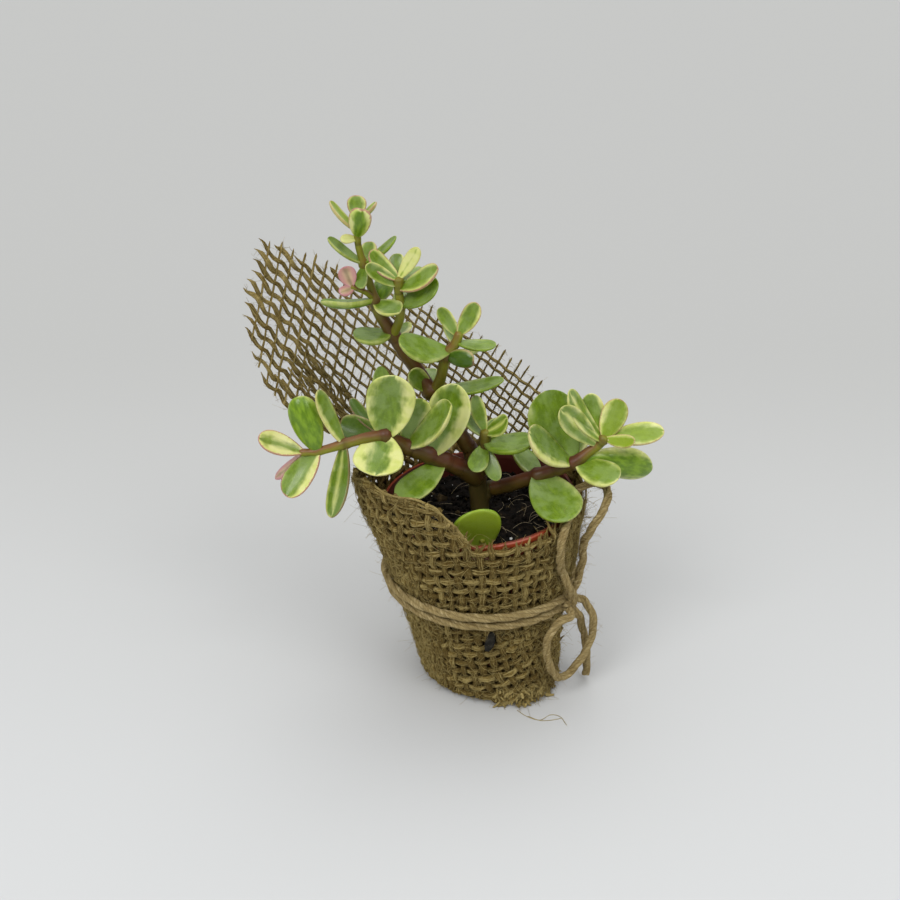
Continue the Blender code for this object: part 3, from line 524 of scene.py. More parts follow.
class Nodes:
    """A material under construction: each method adds a node and gives back its output."""

    def __init__(self, name, roughness, **sockets):
        """Sets the shader's roughness, and other sockets by their names with _ for each space."""
        self.made = bpy.data.materials.new(name)
        self.made.use_nodes = True
        self.tree = self.made.node_tree
        self.shader = self.tree.nodes["Principled BSDF"]
        self.shader.inputs["Roughness"].default_value = roughness
        for socket, value in sockets.items():
            self.shader.inputs[socket.replace("_", " ")].default_value = value

    def link(self, value, socket):
        if isinstance(value, bpy.types.NodeSocket):
            self.tree.links.new(value, socket)
        elif socket.type == "RGBA":
            socket.default_value = (*value, 1.0)
        else:
            socket.default_value = value

    def node(self, kind, **sockets):
        """Adds a node and sets or links its inputs by their names with _ for each space."""
        node = self.tree.nodes.new("ShaderNode" + kind)
        for name, value in sockets.items():
            self.link(value, node.inputs[name.replace("_", " ")])
        return node

    def attribute(self, name, vector=False):
        node = self.node("Attribute")
        node.attribute_name = name
        return node.outputs["Vector" if vector else "Fac"]

    def place(self):
        return self.node("TexCoord").outputs["Object"]

    def normal(self):
        return self.node("TexCoord").outputs["Normal"]

    def vectors(self, kind, a, b):
        node = self.node("VectorMath")
        node.operation = kind
        self.link(a, node.inputs[0])
        self.link(b, node.inputs[1])
        return node

    def dot(self, a, b):
        return self.vectors("DOT_PRODUCT", a, b).outputs["Value"]

    def scaled(self, vector, factors):
        return self.vectors("MULTIPLY", vector, factors).outputs["Vector"]

    def noise(self, vector, scale, detail=2.0, roughness=0.5):
        node = self.node("TexNoise", Vector=vector, Scale=scale, Detail=detail, Roughness=roughness)
        return node.outputs["Fac"]

    def cells(self, vector, scale):
        return self.node("TexVoronoi", Vector=vector, Scale=scale).outputs["Distance"]

    def math(self, kind, a, b=0.0):
        node = self.node("Math")
        node.operation = kind
        self.link(a, node.inputs[0])
        self.link(b, node.inputs[1])
        return node.outputs[0]

    def plus(self, a, b):
        return self.math("ADD", a, b)

    def times(self, a, b):
        return self.math("MULTIPLY", a, b)

    def step(self, value, low, high, start=0.0, end=1.0):
        """Runs smoothly from start to end while the value goes from low to high."""
        node = self.node("MapRange", Value=value, From_Min=low, From_Max=high, To_Min=start, To_Max=end)
        node.interpolation_type = "SMOOTHSTEP"
        return node.outputs["Result"]

    def mix(self, share, a, b):
        node = self.node("Mix")
        node.data_type = "RGBA"
        self.link(share, node.inputs["Factor"])
        self.link(a, node.inputs["A"])
        self.link(b, node.inputs["B"])
        return node.outputs["Result"]

    def finish(self, colour, height=None, depth=0.0001, strength=0.6, roughness=None):
        self.link(colour, self.shader.inputs["Base Color"])
        if roughness is not None:
            self.link(roughness, self.shader.inputs["Roughness"])
        if height is not None:
            bump = self.node("Bump", Strength=strength, Distance=depth, Height=height)
            self.link(bump.outputs["Normal"], self.shader.inputs["Normal"])
        return self.made


def leaf_green(n, streak, cloud, fleck, edge):
    """The green of both sides of a leaf, in streaks and clouds of painted sheen, lighter or darker as its
    look asks.
    """
    light = n.attribute("light")
    green = n.mix(n.step(streak, 0.34, 0.68), (0.120, 0.205, 0.006), (0.185, 0.290, 0.016))
    # Painted sheen: pale clouds over the green stand in for a reflection
    green = n.mix(n.step(cloud, 0.38, 0.62, 0.0, 0.6), green, (0.245, 0.345, 0.095))
    green = n.mix(n.step(fleck, 0.50, 0.75, 0.0, 0.25), green, (0.300, 0.400, 0.110))
    green = n.mix(n.step(light, 0.0, 1.0, 0.0, 0.8), green, (0.320, 0.430, 0.025))
    under = n.mix(n.step(streak, 0.36, 0.66), (0.110, 0.210, 0.004), (0.200, 0.330, 0.012))
    # Painted glow: the lower side is painted brighter near the margin, standing in for light through the
    # thick edge
    under = n.mix(n.step(edge, 1.1, 0.1, 0.0, 0.35), under, (0.360, 0.490, 0.050))
    green = n.mix(n.step(n.attribute("top"), 0.50, 0.66), under, green)
    return n.mix(n.step(light, 0.0, -1.0, 0.0, 0.85), green, (0.035, 0.085, 0.004))


def leaf_cream(n, streak, cloud, brim, across):
    """Share of cream: ragged margins, a stripe down the middle, and the brim of leaves with a margin."""
    margin = n.times(n.attribute("margin"), n.step(cloud, 0.32, 0.60, 0.65, 1.2))
    shifted = n.plus(across, n.times(n.plus(streak, -0.5), 0.42))
    limit = n.math("SUBTRACT", 1.0, margin)
    cream = n.step(shifted, n.plus(limit, -0.36), n.plus(limit, 0.2))
    cream = n.times(cream, n.step(margin, 0.0, 0.12))
    stripe = n.step(n.plus(across, n.times(streak, 0.5)), 0.66, 0.2)
    cream = n.math("MAXIMUM", cream, n.times(stripe, n.attribute("stripe")))
    thin = n.times(n.step(brim, 0.95, 0.5, 0.0, 0.5), n.step(margin, 0.0, 0.06))
    return n.times(n.math("MAXIMUM", cream, thin), 0.95)


def leaf_material():
    """Waxy green with cream margins that run into it, pink on young leaves, a painted glow in the thick edge
    and pale clouds of painted sheen.
    """
    n = Nodes("leaf_skin", 0.36, Specular_IOR_Level=0.2, Coat_Weight=0.5, Coat_Roughness=0.19,
              Subsurface_Weight=0.12, Subsurface_Radius=(0.9, 1.0, 0.2), Subsurface_Scale=0.001)
    blade = n.attribute("blade", True)
    edge = n.attribute("edge")
    across = n.math("ABSOLUTE", n.attribute("across"))
    streak = n.noise(n.scaled(blade, (1.0, 0.35, 1.0)), 0.8, 3.0, 0.5)
    cloud = n.noise(blade, 0.2, 2.0)
    fleck = n.noise(blade, 1.7, 3.0, 0.6)
    brim = n.plus(edge, fleck)
    pale = n.mix(n.step(cloud, 0.40, 0.62), (0.680, 0.720, 0.200), (0.780, 0.780, 0.310))
    cream = leaf_cream(n, streak, cloud, brim, across)
    colour = n.mix(cream, leaf_green(n, streak, cloud, fleck, edge), pale)
    pink = n.attribute("pink")
    rim = n.times(n.step(brim, 1.1, 0.5), pink)
    colour = n.mix(n.math("MINIMUM", rim, 0.75), colour, (0.400, 0.100, 0.130))
    flush = n.times(n.step(pink, 1.1, 1.5, 0.0, 0.9), n.step(across, 0.0, 0.7, 0.55, 1.0))
    colour = n.mix(flush, colour, (0.500, 0.215, 0.235))
    grain = n.plus(n.cells(blade, 2.6), n.times(streak, 3.0))
    return n.finish(colour, grain, 0.0001, 0.4, n.step(fleck, 0.3, 0.7, 0.26, 0.46))


def bark_material():
    """Smooth succulent skin: yellow green where young, maroon where old, redder on the side that faces up."""
    n = Nodes("stem_bark", 0.36, Specular_IOR_Level=0.3, Subsurface_Weight=0.08, Subsurface_Scale=0.0008)
    place = n.place()
    streak = n.noise(n.scaled(n.attribute("fibre", True), (1.0, 1.0, 0.35)), 1.8, 3.0, 0.55)
    blotch = n.noise(place, 160.0, 2.0)
    skyward = n.plus(n.attribute("skyward"), n.times(n.plus(blotch, -0.5), 1.6))
    flush = n.step(skyward, -0.15, 0.75)
    young = n.mix(flush, (0.235, 0.245, 0.016), (0.235, 0.105, 0.035))
    old = n.mix(flush, (0.098, 0.060, 0.009), (0.105, 0.029, 0.012))
    colour = n.mix(n.step(n.attribute("age"), 0.25, 0.85), young, old)
    wood = n.mix(blotch, (0.085, 0.068, 0.016), (0.050, 0.034, 0.010))
    colour = n.mix(n.step(n.attribute("wood"), 0.3, 0.9), colour, wood)
    colour = n.mix(n.step(streak, 0.35, 0.75, 0.0, 0.25), colour, (0.15, 0.10, 0.035))
    colour = n.mix(n.step(n.attribute("ring"), 0.4, 1.0, 0.0, 0.55), colour, (0.045, 0.020, 0.008))
    return n.finish(colour, streak, 0.0001, 0.35)


def jute_material(name, light, mid, dark):
    """Twisted bast fibres: fine streaks along the twist, each yarn of its own shade, which also carries
    painted light and shade.
    """
    n = Nodes(name, 0.9, Specular_IOR_Level=0.1)
    fibre = n.attribute("fibre", True)
    fine = n.noise(n.scaled(fibre, (1.0, 1.0, 0.8)), 3.2, 3.0, 0.7)
    coarse = n.noise(n.scaled(fibre, (0.5, 0.5, 1.0)), 1.6, 2.0)
    colour = n.mix(n.step(fine, 0.32, 0.66), dark, mid)
    colour = n.mix(n.step(coarse, 0.5, 0.75, 0.0, 0.8), colour, light)
    # The shade holds each yarn's own tone and painted light and shade: lighter slivers and standing corner,
    # darker yarn bodies and lining
    shade = n.attribute("shade")
    colour = n.mix(n.step(shade, 0.0, 1.0, 0.0, 0.55), colour, light)
    colour = n.mix(n.step(shade, 0.0, -1.0, 0.0, 0.6), colour, dark)
    stain = n.step(n.noise(n.place(), 55.0, 3.0, 0.6), 0.52, 0.75)
    colour = n.mix(n.times(stain, 0.35), colour, dark)
    return n.finish(colour, fine, 0.00025, 0.9)


def plastic_material():
    """Thin moulded plastic, a little scuffed and dusty with soil, painted darker on the inside: painted
    shade.
    """
    n = Nodes("pot_plastic", 0.42)
    place = n.place()
    dust = n.step(n.noise(place, 90.0, 4.0, 0.65), 0.52, 0.78)
    colour = n.mix(n.times(dust, 0.35), (0.31, 0.044, 0.010), (0.11, 0.035, 0.02))
    # Painted shade: the inside of the wall is painted darker
    inner = n.step(n.dot(n.scaled(place, (1.0, 1.0, 0.0)), n.normal()), 0.005, -0.005)
    colour = n.mix(inner, colour, (0.085, 0.016, 0.010))
    return n.finish(colour, n.noise(place, 700.0, 2.0), 0.00004, 0.4, n.step(dust, 0.0, 1.0, 0.36, 0.62))


def soil_material(name, dark, light):
    """Peat crumbs in two tones."""
    n = Nodes(name, 0.95, Specular_IOR_Level=0.2)
    crumbs = n.noise(n.place(), 420.0, 5.0, 0.7)
    colour = n.mix(n.step(crumbs, 0.4, 0.7), dark, light)
    return n.finish(colour, crumbs, 0.0012, 1.0)


def perlite_material():
    """Chalky white volcanic glass, painted darker in its pits: painted shade."""
    n = Nodes("perlite", 0.85)
    pits = n.cells(n.place(), 1500.0)
    # Painted shade: the pits are painted grey
    colour = n.mix(n.step(pits, 0.1, 0.4), (0.36, 0.34, 0.30), (0.72, 0.71, 0.68))
    return n.finish(colour, pits, 0.0002, 0.7)


def paper_material():
    """Matt paper, painted a little darker and warmer away from the viewer: painted shade."""
    n = Nodes("paper", 0.9)
    # Painted shade: the paper darkens towards the back
    far = n.step(n.dot(n.place(), (0.0, 1.0, 0.0)), -0.26, 0.32)
    return n.finish(n.mix(far, (0.635, 0.64, 0.64), (0.455, 0.455, 0.442)))


# Camera, floor and lights

def add_camera():
    data = bpy.data.cameras.new("camera")
    data.lens = CAMERA_LENS
    data.sensor_width = CAMERA_SENSOR
    camera = placed("camera", data)
    camera.location = Vector(CAMERA_PLACE) * MM
    camera.rotation_euler = (math.radians(CAMERA_TILT), 0.0, 0.0)
    bpy.context.scene.camera = camera


def add_floor():
    mesh = bpy.data.meshes.new("floor")
    corners = [(-FLOOR, -FLOOR, 0), (FLOOR, -FLOOR, 0), (FLOOR, FLOOR, 0), (-FLOOR, FLOOR, 0)]
    mesh.from_pydata(corners, [], [(0, 1, 2, 3)])
    mesh.materials.append(paper_material())
    floor = placed("floor", mesh)


def add_sky():
    """A sky that is bright overhead, dim lower down, and near the floor's own tone at the horizon."""
    world = bpy.data.worlds.new("studio")
    world.use_nodes = True
    nodes, links = world.node_tree.nodes, world.node_tree.links
    height = nodes.new("ShaderNodeSeparateXYZ")
    links.new(nodes.new("ShaderNodeTexCoord").outputs["Generated"], height.inputs["Vector"])
    fade = nodes.new("ShaderNodeValToRGB")
    for place, _ in SKY_LEVELS[1:-1]:
        fade.color_ramp.elements.new(place)
    for element, (place, level) in zip(fade.color_ramp.elements, SKY_LEVELS):
        element.position = place
        element.color = (level, level, level, 1.0)
    links.new(height.outputs["Z"], fade.inputs["Fac"])
    strength = nodes.new("ShaderNodeMath")
    strength.operation = "MULTIPLY"
    strength.inputs[1].default_value = SKY_STRENGTH
    links.new(fade.outputs["Color"], strength.inputs[0])
    sky = nodes["Background"]
    sky.inputs["Color"].default_value = (*SKY_COLOUR, 1.0)
    links.new(strength.outputs[0], sky.inputs["Strength"])
    bpy.context.scene.world = world


def add_lights():
    add_sky()
    for name, (place, spread, power) in LIGHTS.items():
        data = bpy.data.lights.new(name, "SUN")
        data.angle = math.radians(spread)
        data.energy = power
        light = placed(name, data)
        light.rotation_euler = (-Vector(place)).to_track_quat("-Z", "Y").to_euler()
    bpy.context.scene.view_settings.view_transform = "Standard"


# The wrap's surface

def swell(angle, size, middle, spread):
    """A smooth swell of this size about one side of the pot, angles in degrees from +X."""
    off = (angle - middle + 180) % 360 - 180
    return size * np.exp(-(off / spread) ** 2)


def ease(value, low, high):
    """0 up to low, 1 from high on, smooth between; high may be the lower one."""
    t = np.clip((value - low) / (high - low), 0.0, 1.0)
    return t * t * (3 - 2 * t)


def ramp(value, width=10.0):
    """0 for low values and the value itself for high ones, with a soft bend."""
    return 0.5 * (value + np.sqrt(value * value + width * width))


def wrap_radius(angle, height):
    """Outer radius of the cloth about its own centre line, which follows the pot's axis."""
    rise = np.clip((height - POT_FOOT[2]) / POT_HEIGHT, 0.0, 1.0)
    tight = POT_BASE_RADIUS + (POT_RIM_RADIUS - POT_BASE_RADIUS) * rise + CLOTH + CLOTH_SLACK
    left = swell(angle, *BULGE_LEFT) * (np.maximum(height, 0.0) / BULGE_LEFT_TOP) ** 2.6
    low = swell(angle, *BULGE_FOOT) * np.maximum(1 - height / BULGE_FOOT_TOP, 0) ** 1.5
    return tight + left + low + swell(angle, *BULGE_BACK) * rise


def wrap_point(angle, height, inwards):
    """Points of the wrap, this far inwards of its outer face."""
    turn = np.radians(angle)
    radius = wrap_radius(angle, height) - inwards
    centre = POT_FOOT[0] * (1 - np.minimum(height / RIM_Z, 1.0))
    height = np.broadcast_to(height, np.shape(radius))
    return np.stack([centre + radius * np.cos(turn), radius * np.sin(turn), height], axis=-1)


def away_from_axis(angle):
    """Level directions at these angles, in degrees from +X."""
    turn = np.radians(angle)
    return np.stack([np.cos(turn), np.sin(turn), np.zeros_like(turn)], axis=-1)


def cloth_depth(s):
    """How far inside the wrap's outer face the middle of the cloth runs: the strip's ends overlap."""
    return 0.85 + 1.0 * ease(s, -150, -166) - 0.75 * ease(s, 16, 30)


def cloth_point(s, h, out):
    """A point of the wrap: s round it from the front, h up it, below 0 under the pot, out from its middle."""
    angle = -90 + np.degrees(s / ROUND)
    bend = np.clip((TURN_IN - h) / TURN_IN, 0.0, math.pi / 2)
    inwards = cloth_depth(s) - out * np.cos(bend)
    inwards = inwards + TURN_IN * (1 - np.cos(bend)) + np.maximum(TURN_IN - h - TURN_IN * math.pi / 2, 0.0)
    height = np.maximum(h, TURN_IN)
    points = wrap_point(angle, height, inwards)
    points[..., 2] = height - (TURN_IN - LOWEST) * np.sin(bend) - out * np.sin(bend)
    return points


def flap_point(x, z, out):
    """A point of the standing corner, which bulges backwards, and out from its middle towards the back."""
    off = x - FLAP_MIDDLE - FLAP_LEAN * (z - RIM_Z)
    bulge = FLAP_BULGE * (RIM_Z / z) ** 1.2
    normal = unit(np.stack([2 * bulge * off, np.ones_like(off), np.zeros_like(off)], axis=-1))
    return np.stack([x, FLAP_BACK - bulge * off ** 2, z], axis=-1) + normal * np.asarray(out)[..., None]


def laid(surface, a, b, out, away=1.0):
    """Points of the wrap or of the standing corner, out from its middle, and the way that its yarns face."""
    points = surface(a, b, out)
    return points, unit(surface(a, b, out + away) - points)


# The weave's two sets of yarns run where these two values reach whole multiples of the pitch. Where a yarn
# is made, other is the index here of the set that it passes over and under.

def net_weave(x, z):
    """The values in the standing corner of the yarns that end in the left fringe, and of the steep ones."""
    first = NET_DENSITY[0] * (z + NET_FALL[0] * x + NET_FALL[1] * x * x)
    return first, NET_DENSITY[1] * (x - np.polyval(NET_LEAN, x) * (z - NET_LEVEL))


def weave(s, h):
    """Value of the yarns that go round, and of those that go up, at a place of the wrap."""
    bias = ease(s, -16, -50)
    level = h * (1 - bias + 0.75 * DENSER * bias) + 0.65 * DENSER * ramp(-s - 24, 14.0)
    upright = s + bias * (0.9 * DENSER - 1) * s + 0.5 * DENSER * bias * (h - 82)
    # Low down the cloth sags towards the front right, and it opens towards the frayed edge
    level = level - 0.36 * ramp(s - 2, 12.0) * ease(h, 40, 14)
    upright = upright - 0.45 * ramp(30 - h, 8.0) * ease(s, -18, 24) + 0.8 * ramp(s - 24, 5.0)
    return level, upright


def weaving(value, k):
    """From 1 to -1 and back as a yarn passes the yarns of the other set; k tells neighbours apart."""
    return np.cos(math.pi * (value / PITCH + k))


def solve(value, low, high, target):
    """Where a rising function reaches the target between two bounds, by halving."""
    low = np.full_like(target, low)
    high = np.full_like(target, high)
    for _ in range(HALVINGS):
        middle = (low + high) / 2
        above = value(middle) > target
        high = np.where(above, middle, high)
        low = np.where(above, low, middle)
    return (low + high) / 2


def wander(draw, size, waves=((5.0, 1.0), (2.3, 0.5))):
    """A smooth random function of a length, with this size."""
    terms = [(size * share * draw.uniform(0.6, 1.2), length * draw.uniform(0.8, 1.3), draw.uniform(0, 6.3))
             for length, share in waves]
    return lambda t: sum(a * np.sin(t / b + c) for a, b, c in terms)


def multiples(first, last):
    """The whole multiples of the pitch between two values of the weave."""
    return range(math.ceil(first / PITCH), math.floor(last / PITCH) + 1)


def runs(keep, shortest):
    """Slices of the stretches where a row of truths holds, each with at least this many points."""
    edges = np.flatnonzero(np.diff(np.concatenate([[False], keep, [False]]).astype(int)))
    return [slice(a, b) for a, b in zip(edges[::2], edges[1::2]) if b - a >= shortest]


def wrap_edge(s):
    """Height of the wrap's upper edge."""
    angle = (-90 + np.degrees(s / ROUND) + 180) % 360 - 180
    angles, heights = zip(*WRAP_EDGE)
    return np.interp(angle, angles, heights) + EDGE_LIFT + swell(angle, *HEM_LIFT) + swell(angle, *FRONT_LIFT)


def inside_flap(x, z):
    """Which points of the standing corner's plane lie inside its outline."""
    odd = np.zeros(len(x), bool)
    for (ax, az), (bx, bz) in zip(FLAP_OUTLINE, FLAP_OUTLINE[1:] + FLAP_OUTLINE[:1]):
        if az != bz:
            odd ^= ((az > z) != (bz > z)) & (x < ax + (bx - ax) * (z - az) / (bz - az))
    return odd


class Cloth:
    """The burlap: its yarns, their frayed ends, and the places where loose fibres stand out of them."""

    def __init__(self):
        self.draw = random.Random(11)
        self.pile = Pile()
        self.strips = Pile()
        self.sources = []

    def yarn(self, points, outward, radius, shade, frayed=(False, False), slivers=4, pointed=(0.0, 0.0)):
        """A flattened yarn whose body is painted darker, painted shade under the slivers of bast along its
        outer side, which are painted lighter as painted highlights. Its ends can part into plies, or run out
        into a point over this length."""
        if len(points) < 4:
            return
        along = distance_along(points)
        radius = np.broadcast_to(radius, len(points))
        radii = radius * (1 + wander(self.draw, 0.13, ((2.6, 1.0), (0.9, 0.8)))(along))
        for end, rows in ((0, slice(None)), (1, slice(None, None, -1))):
            inwards = along[-1] - along if end else along
            if frayed[end]:
                radii = radii * ease(inwards, -0.5, 2.5)
                self.strands(points[rows], outward[rows], radius[0], shade)
            if pointed[end]:
                radii = radii * (0.12 + 0.88 * ease(inwards, 0.0, pointed[end]))
        # The body is painted darker than the yarn's own shade: painted shade under the slivers
        tube(self.pile, points, np.maximum(radii, YARN_THINNEST), YARN_SIDES, outward, lay=6.0,
             flat=YARN_FLAT, shade=shade - 0.7)
        self.sources.append((points, outward, float(radius.mean())))
        self.slivers(points, outward, along, radii, shade, slivers)

    def slivers(self, points, outward, along, radii, shade, count):
        """Thin strips of bast that lie side by side along the outer side of a yarn and stray, painted lighter
        than its body: painted highlights.
        """
        draw = self.draw
        side = np.cross(unit(np.gradient(points, axis=0)), outward)
        for sliver in range(count):
            middle = (sliver + 0.5) / count - 0.5
            sway = radii * (wander(draw, 0.32, ((3.0, 1.0), (1.3, 0.7)))(along) + middle)
            lift = radii * YARN_FLAT * np.sqrt(np.maximum(1 - (sway / radii) ** 2, 0.15))
            rows = (points + side * sway[:, None] + outward * lift[:, None])[::2]
            thin = radii[::2] * draw.uniform(0.12, 0.24) * (1 + wander(draw, 0.2)(along[::2]))
            # Painted highlight: each sliver is painted lighter than the yarn's own shade
            tube(self.strips, rows, thin, 3, outward[::2], lay=3.0, shade=shade + draw.uniform(0.1, 1.3))

    def loose_end(self, rows, outward, thin, lay, shade):
        """A free end of bast, of this thickness at its points."""
        tube(self.pile, rows, thin, 5, carried(rows), lay=lay, shade=shade)
        self.sources.append((rows, np.broadcast_to(outward, rows.shape), thin[0]))

    def strands(self, points, outward, radius, shade):
        """Two plies that part a little at the end of a yarn and wave."""
        tangent = unit(points[0] - points[3])
        side = np.cross(tangent, outward[0])
        for way in (-1, 1):
            length = self.draw.uniform(1.5, 3.8)
            t = np.linspace(0.0, 1.0, 8)[:, None]
            sway = side * way * self.draw.uniform(0.0, 0.35) + outward[0] * self.draw.uniform(-0.2, 0.3)
            rows = points[2] + (tangent * t + sway * t ** 1.5) * (length + 1.8)
            rows = rows + side * np.sin(t * self.draw.uniform(4, 8) + self.draw.uniform(0, 6)) * 0.3
            rows = rows + side * way * 0.3 * radius
            rows[:, 2] = np.maximum(rows[:, 2], 0.5)
            thin = radius * self.draw.uniform(0.4, 0.6) * (1 - 0.7 * t[:, 0] ** 2)
            self.loose_end(rows, outward[0], thin, 3.0, shade + 0.4)

    def wrap(self):
        """Both sets of yarns of the strip that goes round the pot."""
        draw = self.draw
        s = np.arange(FIRST_EDGE, LAST_EDGE, YARN_STEP)
        bottom = -UNDERSIDE
        first = weave(s, np.full_like(s, bottom))[0].min()
        last = weave(s, np.full_like(s, WRAP_TOP))[0].max()
        for k in multiples(first, last):
            target = k * PITCH + wander(draw, 0.34, WANDER)(s)
            h = solve(lambda rows: weave(s, rows)[0], -40.0, 140.0, target)
            end = LAST_EDGE - draw.uniform(0.0, 1.6)
            keep = (h < wrap_edge(s) + draw.uniform(-0.6, 0.4)) & (h > bottom) & (s < end)
            self.rows(s, h, keep, k, 1)
        h = np.arange(bottom, WRAP_TOP, YARN_STEP)
        first = weave(np.full_like(h, FIRST_EDGE), h)[1].min()
        last = weave(np.full_like(h, LAST_EDGE), h)[1].max()
        for k in multiples(first, last):
            target = k * PITCH + wander(draw, 0.34, WANDER)(h)
            s = solve(lambda rows: weave(rows, h)[1], FIRST_EDGE - 60.0, LAST_EDGE + 60.0, target)
            keep = (h < wrap_edge(s) + draw.uniform(-0.4, 1.6)) & (s > FIRST_EDGE) & (s < LAST_EDGE)
            self.rows(s, h, keep, k, 0)

    def rows(self, s, h, keep, k, other):
        """The stretches of one yarn of the wrap; it passes over and under the yarns of the other set."""
        out = (1 if other else -1) * UNDER_OVER * weaving(weave(s, h)[other], k)
        for part in runs(keep, 5):
            points, outward = laid(cloth_point, s[part], h[part], out[part])
            top = [h[part][i] > wrap_edge(s[part][i]) - 2.5 and s[part][i] > HEM_END for i in (0, -1)]
            edge = [s[part][i] > LAST_EDGE - 3 for i in (0, -1)]
            frayed = tuple(a or b for a, b in zip(top, edge))
            radius = YARN * self.draw.uniform(0.76, 1.1)
            self.yarn(points, outward, radius, self.draw.uniform(-0.7, 0.6), frayed)

    def hem(self):
        """The folded upper edge at the left, and the pale strand that curls out of its end at the front."""
        draw = self.draw
        for number in range(HEM_STRANDS):
            s = np.arange(HEM_START, HEM_END + draw.uniform(-2.0, 6.0), YARN_STEP)
            h = wrap_edge(s) - HEM_STEP * number + wander(draw, 0.35, ((9.0, 1.0), (3.0, 0.6)))(s)
            points, outward = laid(cloth_point, s, h, 0.35 + 0.4 * np.sin(s * 0.4 + number))
            self.yarn(points, outward, draw.uniform(0.4, 0.6), 1.2 - 0.35 * number, (False, True))

    def flap(self):
        """The standing corner, an open net whose yarns run on past its outline into a fringe."""
        draw = self.draw
        xs = np.arange(-90.0, 44.0, 0.9)
        zs = np.arange(60.0, 162.0, 0.9)
        for other, rows in ((1, xs), (0, zs)):
            corners = [net_weave(x, z)[1 - other] for x, z in FLAP_OUTLINE]
            for k in multiples(min(corners), max(corners)):
                target = k * PITCH + wander(draw, 0.4 if other else 0.22, ((9.0, 1.0), (3.5, 0.5)))(rows)
                if other:
                    x, z = xs, solve(lambda z: net_weave(xs, z)[0], -80.0, 300.0, target)
                else:
                    x, z = solve(lambda x: net_weave(x, zs)[1], -100.0, 60.0, target), zs
                self.net_yarn(x, z, k, other)

    def net_yarn(self, x, z, k, other):
        """One yarn of the net: its stretches inside the outline, with the ends that stand out of it."""
        within = inside_flap(x, z)
        if not within.any():
            return
        yarn = self.fringe_yarn(x, z, k, x[within].min()) if other else self.steep_yarn(x, z, k)
        z, out, radius, shade, beyond = yarn
        draw = self.draw
        for part in runs(within | beyond, 4):
            points, outward = laid(flap_point, x[part], z[part], out[part], -1.0)
            tip = 0 if other else -1
            fringe = other and x[part][0] < FRINGE
            taper = draw.uniform(3.0, 5.0) if fringe else draw.uniform(0.6, 1.6)
            pointed = [0.0, 0.0]
            pointed[tip] = taper if z[part][tip] > FLAP_FREE else 0.0
            self.yarn(points, outward, radius[part], shade, slivers=3 if other else 2, pointed=pointed)

    def fringe_yarn(self, x, z, k, leftmost):
        """A yarn of the first set, thicker and more wavy towards the fringe."""
        draw = self.draw
        left = ease(x, -34.0, -68.0)
        reach = draw.uniform(*FRINGE_REACH) if leftmost < FRINGE else draw.uniform(*EDGE_REACH)
        beyond = inside_flap(x - FRINGE_WAY[0] * reach, z - FRINGE_WAY[1] * reach)
        out = NET_SWING * (1 + left) * weaving(net_weave(x, z)[1], k)
        wave = math.pi * net_weave(x, z)[1] / PITCH + draw.uniform(-0.7, 0.7)
        z = z + NET_CRIMP * (0.3 + 1.1 * left ** 1.5) * np.sin(wave)
        radius = draw.uniform(0.5, 0.66) + draw.uniform(0.15, 0.36) * left
        # Its shade is lighter than that of the wrap's yarns of the same cloth: painted light
        return z, out, radius, draw.uniform(0.1, 1.1), beyond

    def steep_yarn(self, x, z, k):
        """A yarn of the steep set, thin and nearly straight."""
        draw = self.draw
        reach = draw.uniform(*STEEP_REACH)
        beyond = inside_flap(x - (NET_LEAN[2] + NET_LEAN[1] * x) * reach, z - reach)
        swing, back = NET_STEEP
        out = back - swing * weaving(net_weave(x, z)[0], k)
        radius = np.full_like(x, draw.uniform(0.34, 0.44))
        # Its shade is lighter than that of the wrap's yarns of the same cloth: painted light
        return z, out, radius, draw.uniform(0.4, 1.2), beyond

    def underside(self):
        """The cloth under the pot, inside the turned-in border."""
        draw = self.draw
        reach = POT_BASE_RADIUS - UNDERSIDE + UNDERSIDE_LAP
        for other in (0, 1):
            for k in multiples(-reach, reach):
                offset = (k + 0.5) * PITCH
                if abs(offset) > reach - 2:
                    continue
                half = math.sqrt(reach * reach - offset * offset)
                t = np.arange(-half, half, YARN_STEP)
                out = (1 if other else -1) * UNDER_OVER * weaving(t, k)
                place = offset + wander(draw, 0.2)(t)
                x, y = (t, place) if other else (place, t)
                points = np.stack([x + POT_FOOT[0], y, LOWEST + 0.1 + out], axis=-1)
                outward = np.broadcast_to(np.array([0.0, 0.0, -1.0]), points.shape)
                self.yarn(points, outward, YARN, draw.uniform(-0.5, 0.3))

    def folded(self):
        """Slack yarns that bunch along the lower left side of the standing corner."""
        draw = self.draw
        for _ in range(FOLDED_YARNS):
            t = draw.random()
            x = FOLD_TOP[0] + FOLD_RUN[0] * t + draw.uniform(-1.0, 11.0)
            z = FOLD_TOP[1] + FOLD_RUN[1] * t + draw.uniform(-3.0, 3.0)
            u = np.arange(0.0, draw.uniform(10.0, 26.0), YARN_STEP)
            turn = math.radians(draw.uniform(-68, -52))
            xs = x + u * math.cos(turn) + wander(draw, 0.5, ((3.5, 1.0), (1.5, 0.6)))(u)
            zs = z + u * math.sin(turn)
            points, outward = laid(flap_point, xs, zs, draw.uniform(-1.4, 0.4) + 0.3 * np.cos(u), -1.0)
            keep = zs > FLAP_FREE - 2
            radius = draw.uniform(0.24, 0.46)
            # Their shade is lighter than that of the wrap's yarns: painted light that keeps the bunch from
            # looking dark
            self.yarn(points[keep], outward[keep], radius, draw.uniform(0.4, 1.3), slivers=2)

